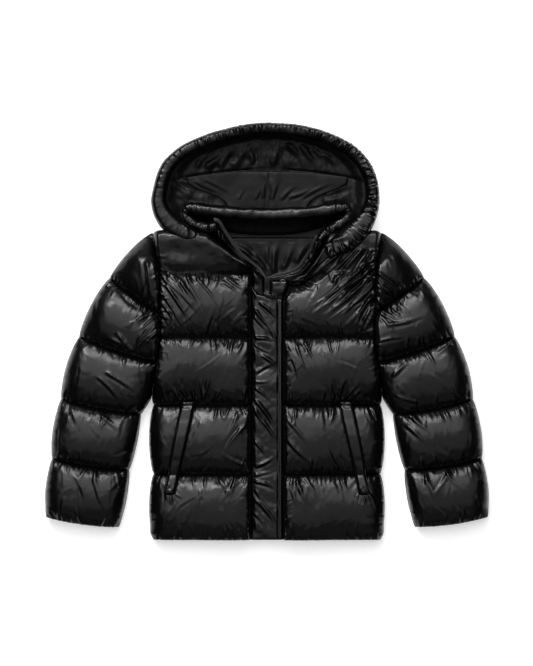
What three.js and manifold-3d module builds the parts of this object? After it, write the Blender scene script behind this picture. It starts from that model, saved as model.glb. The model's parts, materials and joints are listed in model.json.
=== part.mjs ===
// A hooded down jacket laid flat on its back: quilted fronts, back and two-piece sleeves,
// a padded storm flap over an open-necked zip, a stand collar, and a padded hood opened out.
// Millimetres, +Z up. The floor is z = 0, +Y points from the hem to the hood, and the origin
// is on the floor under the middle of the back panel. Left and right are the wearer's.
import * as THREE from "three";
import { mergeVertices } from "three/addons/utils/BufferGeometryUtils.js";
import Module from "manifold-3d";

const wasm = await Module();
wasm.setup();

// Driving dimensions
const seamGap = 0.3; // between pieces that are sewn together
const layerZ = 24; // top of the back layer, where the front layer starts
const hemY = -283.5;
const seamRows = [hemY, -145, 0, 142.8, 277]; // quilting seams of the body, hem to yoke
const shoulderY = 352;
const sideX = 237; // half the body's width at a quilting seam
const sidePuff = 11; // how far a channel bulges past its seams at the side
const armholeTop = { x: 240, y: shoulderY };
const armholeMid = { x: 225, y: 175 };
const underarm = { x: 241, y: 34 };
const flapHalf = 33.3; // half the storm flap's width
const bandBareY = 212; // the front band shows above this
const bodyPuff = 26; // height of a body channel above its seams
const bodySeamRise = 11; // height of a quilting seam above the layer it lies on
const sleevePuff = 27;
const sleeveSeamRise = 11;
const edgeRound = 46; // how far in from a side the padding reaches its full height

const black = { color: 0x101012, roughness: 0.32, metalness: 0 }; // glossy nylon
const matteBlack = { color: 0x19181a, roughness: 0.6, metalness: 0 }; // lining, tapes and teeth
const gunmetal = { color: 0x2b2b2e, roughness: 0.35, metalness: 0.9 }; // slider, pull and snap

// Small helpers
const lerp = (a, b, t) => a + (b - a) * t;
const clamp01 = (t) => Math.min(1, Math.max(0, t));
const smooth = (t) => clamp01(t) ** 2 * (3 - 2 * clamp01(t));
const puff = (s) => Math.sin(Math.PI * clamp01(s)) ** 0.55; // a channel's rounded section
const rounded = (d, r) => Math.sqrt(1 - (1 - clamp01(d / r)) ** 2); // a quarter round of radius r

// The value of a column of a table at `at`, eased between rows. The rows are in order of `key`.
function along(table, key, column, at) {
  const last = table.length - 1;
  if (at <= table[0][key]) return table[0][column];
  if (at >= table[last][key]) return table[last][column];
  const i = table.findIndex((row, n) => n < last && at <= table[n + 1][key]);
  const t = (at - table[i][key]) / (table[i + 1][key] - table[i][key]);
  return lerp(table[i][column], table[i + 1][column], t);
}

// A smooth curve through a table's x, y and z columns
const curveOf = (table) =>
  new THREE.CatmullRomCurve3(table.map((row) => new THREE.Vector3(row.x, row.y, row.z)));

function geometryOf(points, triangles) {
  const geometry = new THREE.BufferGeometry();
  const flat = points.flatMap((p) => [p.x, p.y, p.z]);
  geometry.setAttribute("position", new THREE.Float32BufferAttribute(flat, 3));
  geometry.setIndex(triangles.flat());
  return facingOut(geometry);
}

// Turns every face round if the closed surface encloses a negative volume
function facingOut(geometry) {
  const p = geometry.attributes.position;
  const index = Array.from(geometry.index.array);
  const at = (i) => new THREE.Vector3().fromBufferAttribute(p, i);
  let volume = 0;
  for (let i = 0; i < index.length; i += 3) {
    volume += at(index[i]).dot(at(index[i + 1]).cross(at(index[i + 2]))) / 6;
  }
  if (volume < 0) geometry.setIndex(index.reverse());
  return geometry;
}

// The two triangles of each cell of a grid whose point (i, j) has the index at(i, j)
function gridTriangles(rows, columns, at) {
  const triangles = [];
  for (let i = 0; i + 1 < rows; i++) {
    for (let j = 0; j + 1 < columns; j++) {
      triangles.push([at(i, j), at(i, j + 1), at(i + 1, j + 1)]);
      triangles.push([at(i, j), at(i + 1, j + 1), at(i + 1, j)]);
    }
  }
  return triangles;
}

// The indexes round the edge of a grid, in order
function borderOf(rows, columns) {
  const at = (i, j) => i * columns + j;
  const loop = [];
  for (let j = 0; j < columns; j++) loop.push(at(0, j));
  for (let i = 1; i < rows; i++) loop.push(at(i, columns - 1));
  for (let j = columns - 2; j >= 0; j--) loop.push(at(rows - 1, j));
  for (let i = rows - 2; i > 0; i--) loop.push(at(i, 0));
  return loop;
}

// A pad: a grid of points is its quilted face, and the plane z = seatZ is its plain face
function padOn(grid, seatZ) {
  const rows = grid.length;
  const columns = grid[0].length;
  const points = grid.flat();
  const triangles = gridTriangles(rows, columns, (i, j) => i * columns + j);
  const loop = borderOf(rows, columns);
  const first = points.length;
  loop.forEach((k) => points.push(new THREE.Vector3(points[k].x, points[k].y, seatZ)));
  loop.forEach((k, n) => {
    const next = (n + 1) % loop.length;
    triangles.push([k, first + n, first + next], [k, first + next, loop[next]]);
  });
  const plain = new Map(loop.map((k, n) => [k, first + n]));
  const on = (i, j) => plain.get(i * columns + j);
  const lastJ = columns - 1;
  for (let j = 0; j < lastJ; j++) {
    triangles.push([on(0, j + 1), on(0, j), on(1, 0)]);
    triangles.push([on(rows - 1, j), on(rows - 1, j + 1), on(rows - 2, 0)]);
  }
  triangles.push([on(1, lastJ), on(0, lastJ), on(1, 0)]);
  triangles.push([on(rows - 1, lastJ), on(rows - 2, lastJ), on(rows - 2, 0)]);
  for (let i = 1; i < rows - 2; i++) {
    triangles.push([on(i + 1, lastJ), on(i, lastJ), on(i, 0)]);
    triangles.push([on(i + 1, 0), on(i + 1, lastJ), on(i, 0)]);
  }
  return geometryOf(points, triangles);
}

// A wall between two grids of the same size
function wallBetween(outer, inner) {
  const rows = outer.length;
  const columns = outer[0].length;
  const points = [...outer.flat(), ...inner.flat()];
  const first = rows * columns;
  const triangles = gridTriangles(rows, columns, (i, j) => i * columns + j);
  gridTriangles(rows, columns, (i, j) => first + i * columns + j).forEach((face) =>
    triangles.push(face.reverse()),
  );
  const loop = borderOf(rows, columns);
  loop.forEach((k, n) => {
    const next = loop[(n + 1) % loop.length];
    triangles.push([k, first + k, first + next], [k, first + next, next]);
  });
  return geometryOf(points, triangles);
}

// A closed surface from rings of points, from one pole to the other
function ringsBetween(startPole, rings, endPole) {
  const around = rings[0].length;
  const points = [startPole, ...rings.flat(), endPole];
  const at = (i, j) => 1 + i * around + (j % around);
  const triangles = [];
  for (let j = 0; j < around; j++) {
    triangles.push([0, at(0, j + 1), at(0, j)]);
    triangles.push([points.length - 1, at(rings.length - 1, j), at(rings.length - 1, j + 1)]);
  }
  triangles.push(...gridTriangles(rings.length, around + 1, at));
  return geometryOf(points, triangles);
}

// Cutting with manifold-3d
function bareOf(geometry) {
  const bare = geometry.clone();
  bare.deleteAttribute("normal");
  bare.deleteAttribute("uv");
  return bare;
}

function solidOf(geometry) {
  const merged = mergeVertices(bareOf(geometry), 1e-4);
  return new wasm.Manifold(
    new wasm.Mesh({
      numProp: 3,
      vertProperties: new Float32Array(merged.attributes.position.array),
      triVerts: new Uint32Array(merged.index.array),
    }),
  );
}

function geometryFrom(solid) {
  const mesh = solid.getMesh();
  const geometry = new THREE.BufferGeometry();
  geometry.setAttribute("position", new THREE.BufferAttribute(mesh.vertProperties.slice(), 3));
  geometry.setIndex(new THREE.BufferAttribute(mesh.triVerts.slice(), 1));
  return geometry;
}

// What is left of a solid once others are cut from it: its largest piece
function cut(geometry, ...cutters) {
  let left = solidOf(geometry);
  for (const cutter of cutters) left = left.subtract(solidOf(cutter));
  const bodies = left.decompose();
  bodies.sort((a, b) => b.volume() - a.volume());
  return geometryFrom(bodies[0]);
}

function boxFromTo(low, high) {
  const size = new THREE.Vector3().subVectors(high, low);
  const box = new THREE.BoxGeometry(size.x, size.y, size.z);
  const middle = low.clone().addScaledVector(size, 0.5);
  return box.translate(middle.x, middle.y, middle.z);
}

const lifted = (geometry, dz) => geometry.clone().translate(0, 0, dz);
const mirrored = (point) => new THREE.Vector3(-point.x, point.y, point.z);
const mirrorGrid = (grid) => grid.map((row) => row.map(mirrored));

const jacket = new THREE.Group();
function add(name, geometry, finish) {
  const mesh = new THREE.Mesh(geometry, new THREE.MeshStandardMaterial(finish));
  mesh.name = name;
  jacket.add(mesh);
}

// Body: where a row of the body lies
const shoulderLines = {
  right: [
    { share: 0, y: shoulderY },
    { share: 0.42, y: 362 },
    { share: 0.56, y: 355 },
    { share: 0.7, y: 337 },
    { share: 0.82, y: 316 },
    { share: 1, y: 290 },
  ],
  left: [
    { share: 0, y: shoulderY },
    { share: 0.42, y: 362 },
    { share: 0.57, y: 355 },
    { share: 0.7, y: 308 },
    { share: 0.82, y: 276 },
    { share: 1, y: 260 },
  ],
}; // each front's top edge, from the shoulder point in along the shoulder and down the neck seam
const bandOpens = { right: 0, left: 13 }; // how far each front stands back from its band at the neck
const yokeDrop = { right: 0, left: 27 }; // how far the yoke seam runs down at the front band
const channelSteps = [0, 0.05, 0.17, 0.36, 0.64, 0.83, 0.95];
const bodyRows = [...Array(5).keys()].flatMap((c) => channelSteps.map((s) => c + s)).concat(5);
const coarse = (row) => [0, 0.17, 0.36, 0.64, 0.83].some((step) => Math.abs((row % 1) - step) < 0.01);
const frontShares = [0, 0.035, 0.1, 0.2, 0.36, 0.52, 0.68, 0.82, 0.92, 0.97, 1];

// Half the body's width at a height y, from the hem up the side and round the armhole
function sideAt(y) {
  if (y >= underarm.y) {
    const t = (y - underarm.y) / (shoulderY - underarm.y);
    const hollow = Math.sin(Math.PI * t) ** 0.8;
    return lerp(underarm.x, armholeTop.x, t) - hollow * (armholeTop.x - armholeMid.x);
  }
  const c = seamRows.findIndex((row, n) => n < 4 && y <= seamRows[n + 1]);
  const s = (y - seamRows[c]) / (seamRows[c + 1] - seamRows[c]);
  const atHem = y < hemY + 14 ? (hemY + 14 - y) * 0.5 : 0;
  const closes = smooth((underarm.y - y) / 40);
  const bulge = c === 0 ? Math.max(puff(s), s < 0.5 ? 0.8 : 0) : puff(s);
  return lerp(underarm.x, sideX + sidePuff * bulge, closes) - atHem;
}

// A point of the front, by row (0 hem to 5 shoulder) and share (0 side to 1 storm flap).
// The inner edge turns out above the storm flap, where the front band is bare.
function frontPlan(row, share, side = "right") {
  const c = Math.min(4, Math.floor(row));
  const s = row - c;
  const innerX = (y) => flapHalf + bandOpens[side] * smooth((y - bandBareY) / 40);
  const yokeY = seamRows[4] - yokeDrop[side] * smooth((share - 0.62) / 0.3);
  if (c < 4) {
    const y = lerp(seamRows[c], c === 3 ? yokeY : seamRows[c + 1], s);
    return { x: lerp(sideAt(y), innerX(y), share), y, s };
  }
  const low = { x: lerp(sideAt(yokeY), innerX(yokeY), share), y: yokeY };
  const high = {
    x: lerp(armholeTop.x, innerX(shoulderY), share),
    y: along(shoulderLines[side], "share", "y", share),
  };
  return { x: lerp(low.x, high.x, s), y: lerp(low.y, high.y, s), s };
}

// Big soft folds of the chest, fanning down and in from the armhole
const chestFolds = [
  { x: 205, y: 300, toX: 120, toY: 165, height: 5, width: 16 },
  { x: 214, y: 285, toX: 168, toY: 160, height: 5, width: 15 },
  { x: 190, y: 320, toX: 75, toY: 235, height: 4, width: 16 },
];
function foldLift(folds, x, y) {
  let lift = 0;
  for (const fold of folds) {
    const run = new THREE.Vector2(fold.toX - fold.x, fold.toY - fold.y);
    const from = new THREE.Vector2(x - fold.x, y - fold.y);
    const t = clamp01(from.dot(run) / run.lengthSq());
    const off = from.addScaledVector(run, -t).length();
    lift += fold.height * Math.sin(Math.PI * lerp(0.12, 1, t)) * Math.exp(-((off / fold.width) ** 2));
  }
  return lift;
}

function frontHeight(row, share, side) {
  const { x, y, s } = frontPlan(row, share, side);
  const width = sideAt(Math.min(y, shoulderY)) - flapHalf;
  const fromSide = share * width;
  const fromFlap = (1 - share) * width;
  const atArmhole = smooth((y - underarm.y + 20) / 50);
  const lip = lerp(3, 8, Math.max(atArmhole, share > 0.5 ? 1 : 0));
  const round = rounded(fromSide, lerp(edgeRound, 26, atArmhole)) * rounded(fromFlap, 24);
  const yoke = row > 4 ? lerp(0.9, 0.1, smooth((row - 4) * 1.4)) : 1;
  const seam = row > 4 ? lerp(bodySeamRise, 4, row - 4) : bodySeamRise;
  const hem = row < 1 && s < 0.3 ? Math.max(puff(s), 0.25) : puff(s);
  const chest = row > 3 && row < 4 ? foldLift(chestFolds, x, y) : 0;
  return layerZ + seamGap + lip + round * (seam + bodyPuff * hem * yoke + chest * puff(s));
}

const frontGrid = (side) =>
  bodyRows.map((row) =>
    frontShares.map((share) => {
      const { x, y } = frontPlan(row, share, side);
      return new THREE.Vector3(x, y, frontHeight(row, share, side));
    }),
  );
const frontLeft = padOn(frontGrid("left"), layerZ + seamGap);
const frontRight = padOn(mirrorGrid(frontGrid("right")), layerZ + seamGap);

// Height of an outer face that rests on the floor, by the distance in from its edge
const undersideZ = (inset) => (layerZ - 3) * (inset === 0 ? 0.8 : 1 - rounded(inset, 22));

// Back: its plain inner face is up, and its outer face rests on the floor and rounds up at the sides
const backShares = [0, 0.012, 0.035, 0.08, 0.92, 0.965, 0.988, 1];
const backRows = bodyRows.filter(coarse);
const backGrid = backRows.map((row) =>
  backShares.map((share) => {
    const side = frontPlan(row, 0);
    const x = lerp(-side.x, side.x, share);
    const fromSide = Math.min(share, 1 - share) * 2 * side.x;
    return new THREE.Vector3(x, side.y, undersideZ(Math.min(fromSide, side.y - hemY)));
  }),
);
const back = padOn(backGrid, layerZ);

// Sleeves: each seam runs from the outer edge in to the armhole or the underarm edge
const sleeveEdges = [
  { row: 0, outX: 241, outY: 361, inX: 228, inY: 344 },
  { row: 0.5, outX: 282, outY: 322, inX: 222, inY: 268 },
  { row: 1, outX: 330, outY: 266, inX: 220, inY: 190 },
  { row: 1.5, outX: 364, outY: 208, inX: 220, inY: 136 },
  { row: 2, outX: 394, outY: 143, inX: 222, inY: 86 },
  { row: 2.5, outX: 416, outY: 80, inX: 240, inY: 33 },
  { row: 3, outX: 432, outY: 12, inX: 266, inY: -20 },
  { row: 3.5, outX: 444, outY: -54, inX: 280, inY: -78 },
  { row: 4, outX: 451, outY: -113, inX: 291, inY: -137 },
  { row: 4.5, outX: 459, outY: -176, inX: 302, inY: -196 },
  { row: 5, outX: 464, outY: -236, inX: 312, inY: -257 },
];
const sleeveRows = [...Array(5).keys()].flatMap((c) => channelSteps.map((s) => c + s)).concat(5);
const sleeveShares = [0, 0.025, 0.08, 0.18, 0.34, 0.5, 0.66, 0.82, 0.92, 0.975, 1];
const edgeCurve = (x, y) =>
  new THREE.CatmullRomCurve3(sleeveEdges.map((row) => new THREE.Vector3(row[x], row[y], 0)));
const outerEdge = edgeCurve("outX", "outY");
const innerEdge = edgeCurve("inX", "inY");
const cuffRound = 16; // radius of the cuff's corners
const cuffReach = 120; // length of the last channel

function sleevePlan(row, share) {
  const s = row - Math.min(4, Math.floor(row));
  const bulge = 7 * (row >= 4 ? Math.max(puff(s), s > 0.5 ? 0.75 : 0) : puff(s));
  const out = outerEdge.getPoint(row / 5);
  const into = innerEdge.getPoint(row / 5);
  const across = into.clone().sub(out).normalize();
  const free = smooth((row - 2.3) / 0.5); // the inner edge bulges only below the underarm
  const corner = Math.max(0, row * 30 - 150 + cuffRound) / cuffRound;
  const inset = cuffRound * (1 - Math.sqrt(1 - corner ** 2)) * 0.35;
  out.addScaledVector(across, inset - bulge);
  into.addScaledVector(across, (bulge - inset) * free);
  const sag = Math.sin(Math.PI * share) * 5 * smooth(row);
  return { x: lerp(out.x, into.x, share), y: lerp(out.y, into.y, share) - sag, s };
}

// Height of a sleeve's padding above the layer it lies on; down is 1 for the under sleeve
function sleeveLift(row, share, under) {
  const { s } = sleevePlan(row, share);
  const out = outerEdge.getPoint(row / 5);
  const width = out.distanceTo(innerEdge.getPoint(row / 5));
  const atArmhole = 1 - smooth((row - 1.8) / 0.6);
  const lip = under ? 3 : lerp(3, 8, atArmhole * share);
  const round = rounded(share * width, edgeRound) * rounded((1 - share) * width, edgeRound);
  const head = smooth(row / 0.55);
  const cuff = row > 4.5 ? Math.max(puff(s), 0.25) : puff(s);
  return lip + round * (sleeveSeamRise + sleevePuff * cuff) * lerp(0.3, 1, head);
}

const sleeveTopGrid = sleeveRows.map((row) =>
  sleeveShares.map((share) => {
    const { x, y } = sleevePlan(row, share);
    return new THREE.Vector3(x, y, layerZ + seamGap + sleeveLift(row, share, false));
  }),
);
const sleeveUnderGrid = sleeveRows.filter(coarse).map((row) =>
  sleeveShares.filter((share) => share < 0.2 || share > 0.8).map((share) => {
    const { x, y } = sleevePlan(row, share);
    const out = outerEdge.getPoint(row / 5);
    const width = out.distanceTo(innerEdge.getPoint(row / 5));
    const fromCuff = (5 - row) * cuffReach;
    return new THREE.Vector3(x, y, undersideZ(Math.min(share * width, (1 - share) * width, fromCuff)));
  }),
);

// The body's outline, a seam gap wider, from below the floor to over the top
function bodyPrism() {
  const side = bodyRows.map((row) => frontPlan(row, 0));
  const right = side.map((p) => new THREE.Vector2(p.x + seamGap, p.y));
  const left = right.map((p) => new THREE.Vector2(-p.x, p.y)).reverse();
  const top = frontShares.map((share) => frontPlan(5, share)).filter((p) => p.y > shoulderY);
  const neck = top.map((p) => new THREE.Vector2(p.x, p.y + seamGap));
  const shape = new THREE.Shape([
    ...right,
    ...neck,
    ...neck.map((p) => new THREE.Vector2(-p.x, p.y)).reverse(),
    ...left,
  ]);
  const prism = new THREE.ExtrudeGeometry(shape, { depth: 200, bevelEnabled: false });
  return prism.translate(0, 0, -20);
}
const prism = bodyPrism();

// Pocket welts: smooth strips that stand a little above the front, from the waist seam down
const welt = { topY: 8, lowY: -184, topX: 164, lowX: 204, topHalf: 15, lowHalf: 11.5, lift: 4.5 };
function pocketWelt(front, side) {
  const rows = [...Array(17).keys()].map((n) => n / 16);
  const shares = [0, 0.16, 0.5, 0.84, 1];
  const grid = rows.map((t) =>
    shares.map((share) => {
      const half = lerp(welt.topHalf, welt.lowHalf, t);
      const x = lerp(welt.topX, welt.lowX, t) + half * (share * 2 - 1);
      const y = lerp(welt.topY, welt.lowY, t);
      const row = along(rowOfY, "y", "row", y);
      const under = frontHeight(row, (sideAt(y) - x) / (sideAt(y) - flapHalf), "right");
      const ends = rounded(Math.min(t, 1 - t) * 190 + 1, 9);
      const edge = 0.35 + 0.65 * rounded(Math.min(share, 1 - share) * 2 * half, 7);
      const bridge = Math.max(0, 58 - under) * 0.4;
      return new THREE.Vector3(x, y, under + (welt.lift + bridge) * edge * lerp(0.5, 1, ends));
    }),
  );
  const strip = padOn(side === "left" ? grid : mirrorGrid(grid), layerZ + 8);
  return cut(strip, lifted(front, 0.4));
}
const rowOfY = seamRows.map((y, row) => ({ y, row }));

// Storm flap: a padded strip with its own crumpled folds, over the closed zip
const flapSeatZ = layerZ + 4.4;
const flapTop = [
  { x: -flapHalf, y: 252 },
  { x: -22, y: 234 },
  { x: 0, y: 229 },
  { x: flapHalf, y: 222 },
];
const flapFolds = [
  { x: -14, y: 214, toX: 24, toY: 180, height: 5, width: 6 },
  { x: -26, y: 186, toX: 6, toY: 158, height: 4, width: 6 },
  { x: -30, y: 142, toX: 28, toY: 136, height: 4, width: 5 },
  { x: -22, y: 60, toX: 24, toY: 92, height: 4, width: 7 },
  { x: -24, y: 10, toX: 20, toY: -62, height: 5, width: 7 },
  { x: -28, y: -118, toX: 22, toY: -92, height: 4, width: 6 },
  { x: -26, y: -150, toX: 26, toY: -168, height: 5, width: 6 },
  { x: -20, y: -196, toX: 22, toY: -256, height: 4, width: 7 },
];
const flapRows = [...Array(37).keys()].map((n) => n / 36);
const flapShares = [0, 0.05, 0.16, 0.33, 0.5, 0.67, 0.84, 0.95, 1];
const flapGrid = flapRows.map((t) =>
  flapShares.map((share) => {
    const x = lerp(-1, 1, share) * (flapHalf - seamGap);
    const y = lerp(hemY, along(flapTop, "x", "y", x), t);
    const inset = Math.min(share, 1 - share) * 2 * flapHalf;
    const round = rounded(inset, 11) * rounded(Math.min(y - hemY, (1 - t) * 520) + 2, 11);
    return new THREE.Vector3(x, y, flapSeatZ + 4 + round * (9 + foldLift(flapFolds, x, y)));
  }),
);

// Front bands: the flat strips under the storm flap that carry the zip
const bandInner = 4.6;
const bandTop = { left: { innerY: 263, outerY: 264 }, right: { innerY: 268, outerY: 289 } };
function frontBand(side) {
  const outerX = flapHalf + bandOpens[side] - seamGap;
  const { innerY, outerY } = bandTop[side];
  const shape = new THREE.Shape([
    new THREE.Vector2(bandInner, hemY),
    new THREE.Vector2(flapHalf - seamGap, hemY),
    new THREE.Vector2(flapHalf - seamGap, bandBareY),
    new THREE.Vector2(outerX, bandBareY + 42),
    new THREE.Vector2(outerX, outerY),
    new THREE.Vector2(bandInner, innerY),
  ]);
  const band = new THREE.ExtrudeGeometry(shape, { depth: 3.6, bevelEnabled: false });
  if (side === "right") band.scale(-1, 1, 1);
  return facingOut(mergeVertices(bareOf(band.translate(0, 0, layerZ + seamGap))));
}

// Zip: the closed chain under the flap, and the open halves up the two neck edges
const slider = { y: 258, length: 13, width: 8.4, baseZ: layerZ + seamGap, height: 7.4 };
const chain = boxFromTo(
  new THREE.Vector3(-3, hemY + 3, layerZ + seamGap),
  new THREE.Vector3(3, slider.y - slider.length / 2 - seamGap, layerZ + 3.8),
);

// Slider and pull: the pull's eye turns on a pin between the slider's two lugs
const pin = { y: slider.y + 1.5, z: slider.baseZ + slider.height + 2.2, radius: 0.85 };
const pull = { eye: 1.9, hole: 0.95, neckHalf: 1.5, half: 3.2, thickness: 1.6, length: 19, droop: 0.14 };
const alongX = (radius, halfLength) =>
  new THREE.CylinderGeometry(radius, radius, 2 * halfLength, 20)
    .rotateZ(Math.PI / 2)
    .translate(0, pin.y, pin.z);
function zipSlider() {
  const topZ = slider.baseZ + slider.height;
  const half = slider.width / 2;
  const plan = new THREE.Shape([
    new THREE.Vector2(-half * 0.72, -slider.length / 2),
    new THREE.Vector2(half * 0.72, -slider.length / 2),
    new THREE.Vector2(half, slider.length * 0.1),
    new THREE.Vector2(half * 0.9, slider.length / 2),
    new THREE.Vector2(-half * 0.9, slider.length / 2),
    new THREE.Vector2(-half, slider.length * 0.1),
  ]);
  const body = new THREE.ExtrudeGeometry(plan, { depth: slider.height, bevelEnabled: false });
  body.translate(0, slider.y, slider.baseZ);
  let solid = solidOf(body);
  for (const side of [-1, 1]) {
    const lug = boxFromTo(
      new THREE.Vector3(side * 2.7 - 0.6, pin.y - 1.6, topZ - 0.5),
      new THREE.Vector3(side * 2.7 + 0.6, pin.y + 1.6, pin.z + 1.2),
    );
    solid = solid.add(solidOf(lug));
  }
  return geometryFrom(solid.add(solidOf(alongX(pin.radius, 2.7))));
}
function zipPull() {
  const tab = new THREE.Shape([
    new THREE.Vector2(-pull.neckHalf, -0.6),
    new THREE.Vector2(-pull.neckHalf, -3.4),
    new THREE.Vector2(-pull.half, -5),
    new THREE.Vector2(-pull.half, -pull.length + 2),
    new THREE.Vector2(-pull.half + 1.6, -pull.length),
    new THREE.Vector2(pull.half - 1.6, -pull.length),
    new THREE.Vector2(pull.half, -pull.length + 2),
    new THREE.Vector2(pull.half, -5),
    new THREE.Vector2(pull.neckHalf, -3.4),
    new THREE.Vector2(pull.neckHalf, -0.6),
  ]);
  const blade = new THREE.ExtrudeGeometry(tab, { depth: pull.thickness, bevelEnabled: false });
  blade.translate(0, pin.y, pin.z - pull.thickness / 2);
  const eye = solidOf(alongX(pull.eye, pull.neckHalf));
  const whole = geometryFrom(eye.add(solidOf(blade)).subtract(solidOf(alongX(pull.hole, 5))));
  whole.translate(0, -pin.y, -pin.z).rotateX(pull.droop);
  return whole.translate(0, pin.y, pin.z);
}

// Snap: a ring with a socket in its middle, on the left band
const snapAt = new THREE.Vector3(33, 258, layerZ + seamGap + 3.6 + seamGap);
const snapProfile = [
  { radius: 0, z: 0 },
  { radius: 6.8, z: 0 },
  { radius: 6.8, z: 1.2 },
  { radius: 5.9, z: 2.4 },
  { radius: 4.6, z: 2.4 },
  { radius: 3.6, z: 1.3 },
  { radius: 2.4, z: 1.3 },
  { radius: 1.9, z: 2.2 },
  { radius: 0, z: 2.2 },
];
function snapSocket() {
  const profile = snapProfile.map((p) => new THREE.Vector2(p.radius, p.z));
  const ring = new THREE.LatheGeometry(profile, 20).rotateX(Math.PI / 2);
  ring.translate(snapAt.x, snapAt.y, snapAt.z);
  return facingOut(mergeVertices(bareOf(ring), 1e-3));
}

// Back neck lining: it lies on the back's plain face inside the neck opening
const neckSides = [
  { y: 272, right: -5, left: 9 },
  { y: 278, right: -13, left: 62 },
  { y: 293, right: -36, left: 84 },
  { y: 319, right: -72, left: 102 },
  { y: 342, right: -101, left: 115 },
];
const neckFolds = [
  { x: 22, y: 276, toX: 30, toY: 340, height: 4, width: 6 },
  { x: 12, y: 280, toX: 10, toY: 340, height: 3, width: 5 },
  { x: -40, y: 312, toX: -70, toY: 338, height: 3, width: 8 },
  { x: 50, y: 290, toX: 74, toY: 336, height: 3, width: 7 },
];
const neckGrid = [...Array(8).keys()].map((i) =>
  [...Array(21).keys()].map((j) => {
    const y = lerp(neckSides[0].y, neckSides[4].y, i / 7);
    const x = lerp(along(neckSides, "y", "right", y), along(neckSides, "y", "left", y), j / 20);
    const edge = rounded(Math.min(j, 20 - j, i + 1, 8 - i), 2.5);
    return new THREE.Vector3(x, y, layerZ + 2.2 + edge * (2 + foldLift(neckFolds, x, y)));
  }),
);

// Collar: a padded band round the neck, from the zip on the right, round the back, to the left.
// Each row has a point of the neck seam and the point of the free edge above it.
const collarRows = [
  { x: -12, y: 275, z: 30, toX: -18, toY: 281, toZ: 31, half: 2.2 },
  { x: -30, y: 293, z: 31, toX: -38, toY: 298, toZ: 34, half: 3.4 },
  { x: -50, y: 307, z: 33, toX: -59, toY: 316, toZ: 39, half: 4.4 },
  { x: -67, y: 321, z: 35, toX: -79, toY: 343, toZ: 48, half: 5.2 },
  { x: -84, y: 334, z: 36, toX: -94, toY: 366, toZ: 57, half: 6 },
  { x: -100, y: 346, z: 37, toX: -106, toY: 383, toZ: 64, half: 6.4 },
  { x: -116, y: 357, z: 38, toX: -126, toY: 378, toZ: 63, half: 6.4 },
  { x: -133, y: 367, z: 38, toX: -146, toY: 380, toZ: 63, half: 6 },
  { x: -148, y: 374, z: 37, toX: -164, toY: 389, toZ: 63, half: 5.4 },
  { x: -156, y: 382, z: 34, toX: -176, toY: 402, toZ: 63, half: 5.2 },
  { x: -151, y: 389, z: 31, toX: -168, toY: 418, toZ: 66, half: 5.6 },
  { x: -136, y: 384, z: 30, toX: -146, toY: 419, toZ: 69, half: 6.2 },
  { x: -108, y: 370, z: 29.5, toX: -112, toY: 416, toZ: 69, half: 7 },
  { x: -60, y: 358, z: 29, toX: -60, toY: 412, toZ: 68, half: 7 },
  { x: 0, y: 355, z: 29, toX: 0, toY: 410, toZ: 67, half: 7 },
  { x: 60, y: 358, z: 29, toX: 60, toY: 412, toZ: 68, half: 7 },
  { x: 108, y: 370, z: 29.5, toX: 114, toY: 416, toZ: 69, half: 7 },
  { x: 134, y: 384, z: 30, toX: 146, toY: 420, toZ: 69, half: 6.2 },
  { x: 150, y: 390, z: 31, toX: 168, toY: 418, toZ: 66, half: 5.4 },
  { x: 156, y: 382, z: 34, toX: 173, toY: 402, toZ: 63, half: 5 },
  { x: 149, y: 373, z: 37, toX: 162, toY: 388, toZ: 62, half: 5.4 },
  { x: 135, y: 364, z: 38, toX: 143, toY: 378, toZ: 62, half: 6 },
  { x: 124, y: 352, z: 38, toX: 122, toY: 366, toZ: 62, half: 6 },
  { x: 114, y: 334, z: 37, toX: 104, toY: 348, toZ: 58, half: 6 },
  { x: 103, y: 314, z: 35, toX: 93, toY: 324, toZ: 48, half: 5.4 },
  { x: 89, y: 293, z: 34, toX: 79, toY: 300, toZ: 41, half: 4.6 },
  { x: 68, y: 275, z: 33, toX: 62, toY: 283, toZ: 37, half: 3.8 },
  { x: 42, y: 268.5, z: 32.5, toX: 39, toY: 274, toZ: 34, half: 3 },
  { x: 18, y: 267, z: 31, toX: 17, toY: 269, toZ: 32, half: 2.2 },
];
const seamLine = curveOf(collarRows);
const freeEdge = new THREE.CatmullRomCurve3(
  collarRows.map((row) => new THREE.Vector3(row.toX, row.toY, row.toZ)),
);
const collarHalf = collarRows.map((row, n) => ({ t: n / (collarRows.length - 1), half: row.half }));
function collarSection(t) {
  const low = seamLine.getPoint(t);
  const high = freeEdge.getPoint(t);
  const run = seamLine.getTangent(t).add(freeEdge.getTangent(t)).normalize();
  const up = high.clone().sub(low);
  const side = new THREE.Vector3().crossVectors(run, up).normalize();
  const half = along(collarHalf, "t", "half", t) * (1 + 0.1 * Math.sin(t * 110));
  const middle = low.clone().lerp(high, 0.5);
  return [...Array(12).keys()].map((n) => {
    const turn = (n / 12) * 2 * Math.PI;
    const c = Math.cos(turn);
    const s = Math.sin(turn);
    return middle
      .clone()
      .addScaledVector(up, 0.5 * Math.sign(c) * Math.abs(c) ** 0.8)
      .addScaledVector(side, half * Math.sign(s) * Math.abs(s) ** 0.8);
  });
}
const middleOf = (ring) =>
  ring.reduce((sum, p) => sum.add(p), new THREE.Vector3()).divideScalar(ring.length);
function collar() {
  const rings = [...Array(59).keys()].map((n) => collarSection(n / 58));
  return ringsBetween(middleOf(rings[0]), rings, middleOf(rings[58]));
}

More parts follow.
